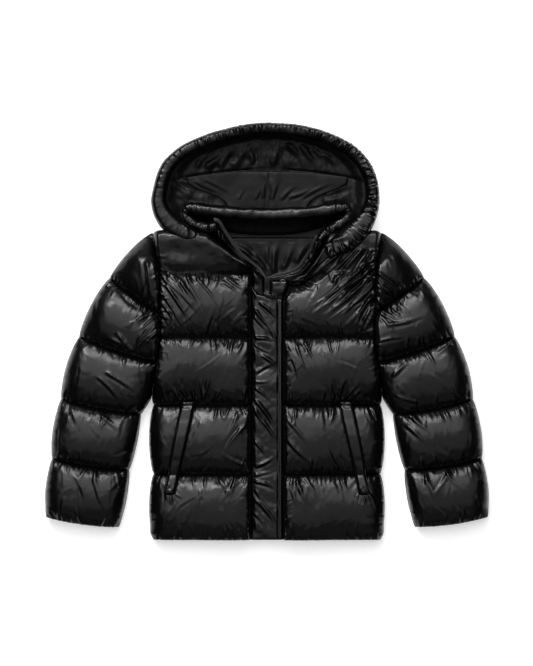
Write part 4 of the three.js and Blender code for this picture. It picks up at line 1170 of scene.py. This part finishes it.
def liningTop(share, y):
    band = math.sin(math.pi * clamp((share - 0.36) / 0.58)) ** 1.6 * 5 * hoodRise(y)
    wall = 9 * ease((share - 0.83) / 0.1) * hoodRise(y)
    return shellInside(share, y) + 1.6 + 4 + band + wall


def makeLining():
    around = hoodAround["lining"]
    shares = [0.06, 0.16, 0.26, 0.34] + [0.4 + 0.0109 * k for k in range(51)]
    rings = [hoodRing(s, shellInside, around, 1.0) for s in (0.05, 0.4, 0.7, 0.85, 0.945)]
    rings += [hoodRing(s, liningTop, around) for s in reversed(shares)]
    points, faces = tubeParts(rings)
    obj = faceOut(meshObject("hood_lining_cloth", points, faces, liningTaffeta))
    p = pointsOf(obj)
    free = np.arange(len(p)) >= 5 * around  # the upper side, after the five rings below
    x, y = p[:, 0], p[:, 1]
    share = np.array([hoodShare(a, b) for a, b in zip(x, y)])
    fade = np.clip((0.935 - share) / 0.06, 0, 1) * np.clip((y - 380) / 30, 0, 1) * free
    broad = [(*fold[:5], 1.6 * fold[5]) for fold in liningFolds]
    lift = 1.3 * foldLift(broad, x, y)
    lift += 3.4 * roughAt(x, y, 24, 21.0)
    lift += 1.2 * roughAt(x * 1.5, y * 0.8, 10, 22.0)
    lift -= 4.5 * np.exp(-((y - 494 + 0.0006 * x * x) / 3.2) ** 2)  # the seam under the crescent
    p[:, 2] += lift * fade
    setPoints(obj, p)
    return finishSmooth(obj, 0)


# by the share from the neck to the crown: the middle's y, half the width and how far the ends sag
facingRows = {"y": [(0, 396), (0.35, 427), (0.5, 438), (0.62, 447), (0.74, 458), (0.86, 471), (1, 491)],
              "half": [(0, 72), (0.35, 90), (0.5, 104), (0.62, 124), (0.74, 150), (0.86, 168), (1, 170)],
              "sag": [(0, 0), (0.35, 0), (0.5, 1), (0.62, 2), (0.74, 4), (0.86, 7), (1, 13)]}
facingSizes = {"rows": 44, "columns": 110, "overLining": 2.6, "half": 1.2}
facingFolds = [
    (-8, 434, -4, 470, 2.2, 3), (-24, 432, -14, 462, 1.8, 3), (10, 432, 24, 474, 2.2, 4),
    (30, 432, 62, 462, 2.4, 4), (46, 436, 104, 462, 2.2, 4), (74, 436, 140, 468, 2.2, 4),
    (-60, 432, -44, 458, 1.6, 3.4), (-150, 470, -92, 446, 2.4, 4), (-132, 474, -70, 440, 1.8, 4),
    (-4, 484, 14, 440, 1.8, 5),
]


def makeFacing():
    rows, cols = facingSizes["rows"], facingSizes["columns"]
    upper, lower = [], []
    for i in range(rows + 1):
        t = i / rows
        up, low = [], []
        for j in range(cols + 1):
            share = 2 * j / cols - 1
            x = along(facingRows["half"], t) * share + 1
            y = along(facingRows["y"], t) - along(facingRows["sag"], t) * share ** 2
            seat = liningTop(hoodShare(x, y), y) + facingSizes["overLining"]
            edge = quarterRound(min(j, cols - j) * 3.0, 8) * quarterRound(min(i, rows - i) * 2.4 + 1.5, 7)
            lean = x - 4 - 0.12 * (y - 460)
            crease = -1.6 * math.exp(-(lean / 4.5) ** 2) + 1.6 * math.exp(-((lean - 12) / 10) ** 2)
            wave = 2.2 * rough(x, y, 46, 31.0) + 0.5 * rough(x, y, 15, 32.0)
            half = facingSizes["half"]
            up.append((x, y, seat + half + 2.4 * edge + 3 * t + crease * edge + wave * edge))
            low.append((x, y, seat - half))
        upper.append(up)
        lower.append(low)
    upper = np.array(upper)
    upper[..., 2] += foldLift(facingFolds, upper[..., 0], upper[..., 1])
    upper = [[tuple(p) for p in line] for line in upper]
    points, faces = wallParts(upper, lower)
    return finishSmooth(faceOut(meshObject("hood_facing_cloth", points, faces, liningTaffeta)), 1)


hoodShell = makeShell()
hoodLining = makeLining()
hoodFacing = makeFacing()
print("hood sewn")


# neck lining and front bands

neck = {"lowY": 272.0, "highY": 350.0, "seatZ": 24.3, "clothZ": 26.2, "rows": 36, "columns": 90}
frontBand = {
    "innerX": 4.6, "inset": 0.3, "seatZ": 24.3, "clothZ": 27.3, "rows": 120, "columns": 10,
    "bareY": 215.0,  # above this the storm flap leaves the band bare, and it crumples
    "top": {"left": (263, 264), "right": (268, 289)},  # y at the zip and at the front
}
neckSides = {"right": [(272, -5), (278, -13), (293, -36), (319, -72), (342, -101)],
             "left": [(272, 9), (278, 62), (293, 84), (319, 102), (342, 115)]}
neckFolds = [
    (14, 278, 22, 344, 5, 6), (32, 286, 52, 340, 5, 6), (-22, 300, -60, 344, 5, 6),
    (-4, 284, -34, 340, 4, 5), (-34, 314, -84, 340, 4, 5), (60, 300, 88, 342, 4, 6),
    (2, 300, 4, 346, 3, 4),
]


def makeNeckLining():
    rows, cols = neck["rows"], neck["columns"]
    grid = []
    for i in range(rows + 1):
        line = []
        for j in range(cols + 1):
            y = mix(neck["lowY"], neck["highY"], i / rows)
            x = mix(along(neckSides["right"], y), along(neckSides["left"], y), j / cols)
            edge = quarterRound(min(j, cols - j) * 2.0 + 1, 8)
            line.append((x, y, neck["clothZ"] + edge * (2.4 + 2.4 * rough(x * 1.2, y, 26, 41.0))))
        grid.append(line)
    grid = np.array(grid)
    grid[..., 2] += foldLift(neckFolds, grid[..., 0], grid[..., 1])
    grid[..., 2] = np.clip(grid[..., 2], 25.2, np.where(grid[..., 1] < 340, 36, 28.5))
    grid = [[tuple(p) for p in line] for line in grid]
    points, faces, first = padParts(grid, neck["seatZ"])
    return finishSmooth(faceOut(meshObject("neck_lining_cloth", points, faces, liningTaffeta)), 1)


def makeBand(side):
    sign = 1 if side == "left" else -1
    outerX = body["flapHalf"] + body["bandOpens"][side] - frontBand["inset"]
    topIn, topOut = frontBand["top"][side]
    rows, cols = frontBand["rows"], frontBand["columns"]
    grid = []
    for i in range(rows + 1):
        t = i / rows
        line = []
        for j in range(cols + 1):
            share = j / cols
            yTop = mix(topIn, topOut, share)
            y = mix(body["hemY"], yTop, t)
            edgeX = mix(body["flapHalf"] - frontBand["inset"], outerX, ease((y - body["bandBareY"]) / 42))
            x = mix(frontBand["innerX"], edgeX, share)
            edge = min(1, min(j, cols - j, i, rows - i) * 0.7)
            above = y - frontBand["bareY"]
            bare = ease(above / 10)
            lumps = 0.2 * above + 3.4 * rough(x, y, 13, 51.0) + 1.4 * rough(x, y, 6, 52.0)
            lift = bare * edge * lumps
            line.append((sign * x, y, frontBand["clothZ"] + 0.5 * edge + max(-0.8, lift)))
        grid.append(line)
    points, faces, first = padParts(grid, frontBand["seatZ"])
    return finishSmooth(faceOut(meshObject("front_band_cloth_" + side, points, faces, glossyNylon)), 1)


neckLining = makeNeckLining()
bands = {side: makeBand(side) for side in ("left", "right")}


# pocket welts

def makeWelt(side):
    sign = 1 if side == "left" else -1
    rows, cols = weltPlan["rows"], weltPlan["columns"]
    upper, lower = [], []
    for i in range(rows + 1):
        t = i / rows
        up, low = [], []
        y = mix(weltPlan["topY"], weltPlan["lowY"], t)
        row = float(np.interp(y, body["seams"], range(5)))
        half = mix(weltPlan["topHalf"], weltPlan["lowHalf"], t)
        for j in range(cols + 1):
            share = j / cols
            x = mix(weltPlan["topX"], weltPlan["lowX"], t) + half * (2 * share - 1)
            frontZ = frontHeight(row, (sideAt(y) - x) / (sideAt(y) - body["flapHalf"]), "right")
            ends = mix(0.5, 1, quarterRound(min(t, 1 - t) * weltPlan["length"] + 1, weltPlan["edgeRound"]))
            edge = 0.2 + 0.8 * quarterRound(min(share, 1 - share) * 2 * half, weltPlan["edgeRound"])
            bridge = max(0, 58 - frontZ) * 0.5
            crinkle = 2.6 * rough(x, y, 7, 61.0) * ease((abs(t - 0.5) - 0.36) / 0.1)
            lumps = 0.6 * rough(x, y, 16, 62.0)
            rise = (weltPlan["rise"] + bridge + lumps) * edge * ends
            up.append((sign * x, y, frontZ + rise + crinkle * edge))
            low.append((sign * x, y, frontZ - 1.2))
        upper.append(up)
        lower.append(low)
    points, faces = wallParts(upper, lower)
    return finishSmooth(faceOut(meshObject("pocket_welt_cloth_" + side, points, faces, glossyNylon)), 1)


welts = {side: makeWelt(side) for side in ("left", "right")}


# what repeats: zip teeth and stitches

def repeatTree(name, material):  # a small block at even steps along a curve
    tree = bpy.data.node_groups.new(name, "GeometryNodeTree")
    face = tree.interface
    face.new_socket("Path", in_out="INPUT", socket_type="NodeSocketGeometry")
    for label, value in (("Spacing", 0.0028), ("Length", 0.0014), ("Width", 0.003), ("Height", 0.002)):
        face.new_socket(label, in_out="INPUT", socket_type="NodeSocketFloat").default_value = value
    face.new_socket("Blocks", in_out="OUTPUT", socket_type="NodeSocketGeometry")
    into = addNode(tree, "NodeGroupInput")
    sizes = into.outputs
    points = addNode(tree, "GeometryNodeCurveToPoints", {"mode": "LENGTH"}, Curve=sizes["Path"],
                     Length=sizes["Spacing"])
    size = addNode(tree, "ShaderNodeCombineXYZ", None, X=sizes["Height"], Y=sizes["Width"],
                   Z=sizes["Length"])
    block = addNode(tree, "GeometryNodeMeshCube", None, Size=size.outputs[0], Vertices_X=2, Vertices_Y=2,
                    Vertices_Z=2)
    placed = addNode(tree, "GeometryNodeInstanceOnPoints", None, Points=points.outputs[0],
                     Instance=block.outputs[0], Rotation=points.outputs["Rotation"])
    real = addNode(tree, "GeometryNodeRealizeInstances", None, Geometry=placed.outputs[0])
    paint = addNode(tree, "GeometryNodeSetMaterial", None, Geometry=real.outputs[0], Material=material)
    addNode(tree, "NodeGroupOutput", None, Blocks=paint.outputs[0])
    return tree


def repeatAlong(name, path, tree, spacing, length, width, height):  # sizes and path in mm
    curve = bpy.data.curves.new(name, "CURVE")
    curve.dimensions = "3D"
    curve.twist_mode = "Z_UP"
    spline = curve.splines.new("POLY")
    spline.points.add(len(path) - 1)
    for point, place in zip(spline.points, path):
        point.co = (0.001 * place[0], 0.001 * place[1], 0.001 * place[2], 1)
    source = bpy.data.objects.new(name + " path", curve)
    scene.collection.objects.link(source)
    step = source.modifiers.new("repeat", "NODES")
    step.node_group = tree
    sizes = {"Spacing": spacing, "Length": length, "Width": width, "Height": height}
    for item in tree.interface.items_tree:
        if item.in_out == "INPUT" and item.name in sizes:
            step[item.identifier] = sizes[item.name] / 1000
    graph = bpy.context.evaluated_depsgraph_get()
    mesh = bpy.data.meshes.new_from_object(source.evaluated_get(graph))
    bpy.data.objects.remove(source)
    obj = bpy.data.objects.new(name, mesh)
    scene.collection.objects.link(obj)
    return obj


tooth = {"spacing": 2.6, "length": 1.5, "width": 3.4, "height": 2.6}
stitch = {"spacing": 3.6, "length": 2.6, "width": 0.6, "height": 0.5}
toothTree = repeatTree("zip teeth", mouldedTeeth)
stitchTree = repeatTree("lockstitch", polyesterThread)


def teethPath(side):
    sign, start = (-1, 0.0) if side == "right" else (1, 1.0)
    off = 6.4 if side == "right" else 4.6
    path = [Vector((sign * 2.4, 266.9, 29.8))]
    for n in range(23):
        t = abs(start - (5.2 / 28) * n / 22)
        run = freeEdge(clamp(t + 0.004)) - freeEdge(clamp(t - 0.004))
        if side == "left":
            run = -run
        inward = Vector((-sign * run.y, sign * run.x, 0)).normalized()
        path.append(freeEdge(t) + inward * off)
    return path


def makeTape(side):  # woven tape between the teeth and the collar's edge
    path = teethPath(side)
    upper, lower = [], []
    for n, p in enumerate(path):
        run = path[min(n + 1, len(path) - 1)] - path[max(n - 1, 0)]
        across = Vector((run.y, -run.x, 0)).normalized() * (-1 if side == "right" else 1)
        reach = 2.0 if n == 0 else (5.4 if side == "right" else 3.8)
        line = [p + across * w for w in (-1.2, 0.0, reach * 0.5, reach)]
        upper.append([(q.x, q.y, q.z + 0.3) for q in line])
        lower.append([(q.x, q.y, q.z - 0.6) for q in line])
    points, faces = wallParts(upper, lower)
    return finishSmooth(faceOut(meshObject("zip_tape_" + side, points, faces, zipTape)), 1)


pipingSizes = {"stations": 90, "around": 10, "radius": 2.3, "length": 100.0}


def makePiping():  # a narrow rolled edge where the left front meets the neck lining
    line = splineThrough([
        (8, 266, 31), (24, 269, 33), (38, 272, 34), (54, 277, 36), (66, 284, 38), (76, 296, 41),
        (84, 310, 44), (94, 326, 47), (106, 346, 50),
    ])
    rings = []
    stations, around = pipingSizes["stations"], pipingSizes["around"]
    for n in range(stations + 1):
        t = n / stations
        run = line(min(1, t + 0.01)) - line(max(0, t - 0.01))
        side = Vector((run.y, -run.x, 0)).normalized()
        r = pipingSizes["radius"] * quarterRound(min(t, 1 - t) * pipingSizes["length"] + 1, 4)
        r += 0.35 * rough(t * 110, 0, 7, 71.0)
        rings.append([tuple(line(t) + side * (r * math.cos(a)) + Vector((0, 0, r * math.sin(a))))
                      for a in (2 * math.pi * k / around for k in range(around))])
    points, faces = tubeParts(rings)
    return finishSmooth(faceOut(meshObject("neck_edge_piping", points, faces, glossyNylon)))


piping = makePiping()
teeth = {}
tapes = {}
for side in ("left", "right"):
    teeth[side] = repeatAlong("moulded_teeth_" + side, teethPath(side), toothTree, **tooth)
    tapes[side] = makeTape(side)
print("zip made")

runInflation(down["frames"])
for side in ("left", "right"):
    for obj, channels, per, cols in ((fronts[side], 4, body["rowsPerChannel"], body["columns"]),
                                     (sleeveTops[side], 4, sleeve["rowsPerChannel"], sleeve["columns"])):
        rows = [[c * per * (cols + 1) + j for j in range(cols + 1)] for c in range(1, channels + 1)]
        sharpSeams(obj, rows)
    crumple(finishSmooth(fronts[side]), frontFolds[side] + frontGathers(side), (1.3, 0.4))
    crumple(finishSmooth(sleeveTops[side]), sleeveFolds[side] + sleeveGathers(side), (1.3, 0.4))
finishSmooth(stormFlap)
crumple(finishSmooth(hoodRim), rimGathers(), (1.2, 0.6), 55.0)
print("folds pressed in")

stitchRows = []
for name, x in (("folded_edge", flap["foldedEdgeX"]), ("free_edge", flap["freeEdgeX"])):
    path = [(x, mix(body["hemY"] + 3, 216, k / 60), flap["stitchZ"]) for k in range(61)]
    stitchRows.append(repeatAlong("stitches_" + name, path, stitchTree, **stitch))


# who replaces whom

def dress(piece, nodes, fill=None, flat=None, held=None, slotName="glossy_nylon", rests=(), area=None):
    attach(piece, "jacket")
    if nodes:
        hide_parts(*nodes)


bandCut = {"left": {"flat": (0.031, 0.55), "held": "stretched", "area": 0.0158},
           "right": {"flat": (0.0285, 0.571), "held": "stretched", "area": 0.016}}
for side in ("left", "right"):
    dress(fronts[side], ["front_" + side], fill=0.8)
    dress(sleeveTops[side], ["sleeve_top_" + side], fill=0.8)
    dress(sleeveUnders[side], ["sleeve_under_" + side], fill=0.6)
    dress(welts[side], ["pocket_welt_" + side], fill=0.3)
    dress(bands[side], ["front_band_" + side], **bandCut[side])
    dress(teeth[side], ["zip_teeth_" + side], slotName="zip_tape_and_teeth")
    dress(tapes[side], [], slotName="zip_tape_and_teeth")
dress(back, ["back"], fill=0.5)
dress(stormFlap, ["storm_flap"], fill=0.4)
dress(collar, ["collar"], fill=0.7)
dress(hoodRim, ["hood_rim"], fill=0.9)
dress(hoodShell, ["hood_centre", "hood_side_left", "hood_side_right"], fill=0.5)
dress(hoodLining, ["hood_lining"], fill=0.4, slotName="lining")
dress(hoodFacing, ["hood_facing"], flat=(0.34, 0.095), held="stretched", area=0.024, slotName="lining")
dress(piping, [], fill=0.5)
dress(neckLining, ["neck_lining"], flat=(0.216, 0.078), held="stretched", area=0.0125, slotName="lining")
for row in stitchRows:
    dress(row, [])

hardware = {"zip_chain": mouldedTeeth, "zip_slider": gunmetal, "zip_pull": gunmetal,
            "snap_socket": snapMetal}
for node, material in hardware.items():
    solid = frame["nodes"][node]
    solid.data.materials.clear()
    solid.data.materials.append(material)


# floor, light and camera

view = {"middle": (-1.0, 151.0, 30.0), "heightMm": 1398.6, "lens": 120.0}
studio = {  # watts and metres
    # high, a little behind the collar
    "key": {"power": 42.0, "size": (3.4, 2.0), "place": (-0.35, 1.15, 2.9)},
    # low, for the folds' crisp light
    "back": {"power": 66.0, "size": (2.2, 0.8), "place": (-0.4, 2.15, 1.9)},
    # wide, for the even grey of the flat parts
    "top": {"power": 215.0, "size": (10.0, 9.0), "place": (0.0, 0.55, 5.6)},
    # small, for sharp lights on the folds
    "glint": {"power": 15.0, "size": (0.5, 0.4), "place": (-1.0, 1.8, 1.85)},
    # faint, from below the hem
    "low": {"power": 5.0, "size": (4.0, 1.4), "place": (0.0, -2.6, 1.9)},
    "ambient": 0.012, "tableGlow": 0.4,
}

floorMesh = bpy.data.meshes.new("floor")
floorMesh.from_pydata([(-6, -6, 0), (6, -6, 0), (6, 6, 0), (-6, 6, 0)], [], [[0, 1, 2, 3]])
floor = bpy.data.objects.new("studio_floor", floorMesh)
scene.collection.objects.link(floor)
paper, tree = newMaterial("white paper sweep")
shader = addNode(tree, "ShaderNodeBsdfPrincipled", None, Base_Color=linear("#fcfcfc"), Roughness=0.9,
                 Emission_Color=linear("#ffffff"), Emission_Strength=studio["tableGlow"])
addNode(tree, "ShaderNodeOutputMaterial", None, Surface=shader.outputs[0])
floorMesh.materials.append(paper)

world = bpy.data.worlds.new("studio")
scene.world = world
world.use_nodes = True
world.node_tree.nodes["Background"].inputs[0].default_value = (1, 1, 1, 1)
world.node_tree.nodes["Background"].inputs[1].default_value = studio["ambient"]


def softbox(name, power, size, place):
    lamp = bpy.data.objects.new(name, bpy.data.lights.new(name, "AREA"))
    lamp.data.shape = "RECTANGLE"
    lamp.data.size, lamp.data.size_y = size
    lamp.data.energy = power
    lamp.location = place
    aim = Vector((0, 0.15, 0)) - lamp.location
    lamp.rotation_euler = aim.to_track_quat("-Z", "Y").to_euler()
    scene.collection.objects.link(lamp)


for lampName in ("key", "back", "top", "glint", "low"):
    softbox(lampName + "_softbox", **studio[lampName])

camera = bpy.data.objects.new("camera", bpy.data.cameras.new("camera"))
camera.data.sensor_fit = "VERTICAL"
camera.data.sensor_height = 36.0
camera.data.lens = view["lens"]
distance = view["heightMm"] / 1000 * view["lens"] / 36.0
middle = [v / 1000 for v in view["middle"]]
camera.location = (middle[0], middle[1], middle[2] + distance)
camera.data.clip_end = 50
scene.collection.objects.link(camera)
scene.camera = camera
scene.view_settings.view_transform = "Standard"
scene.view_settings.look = "None"
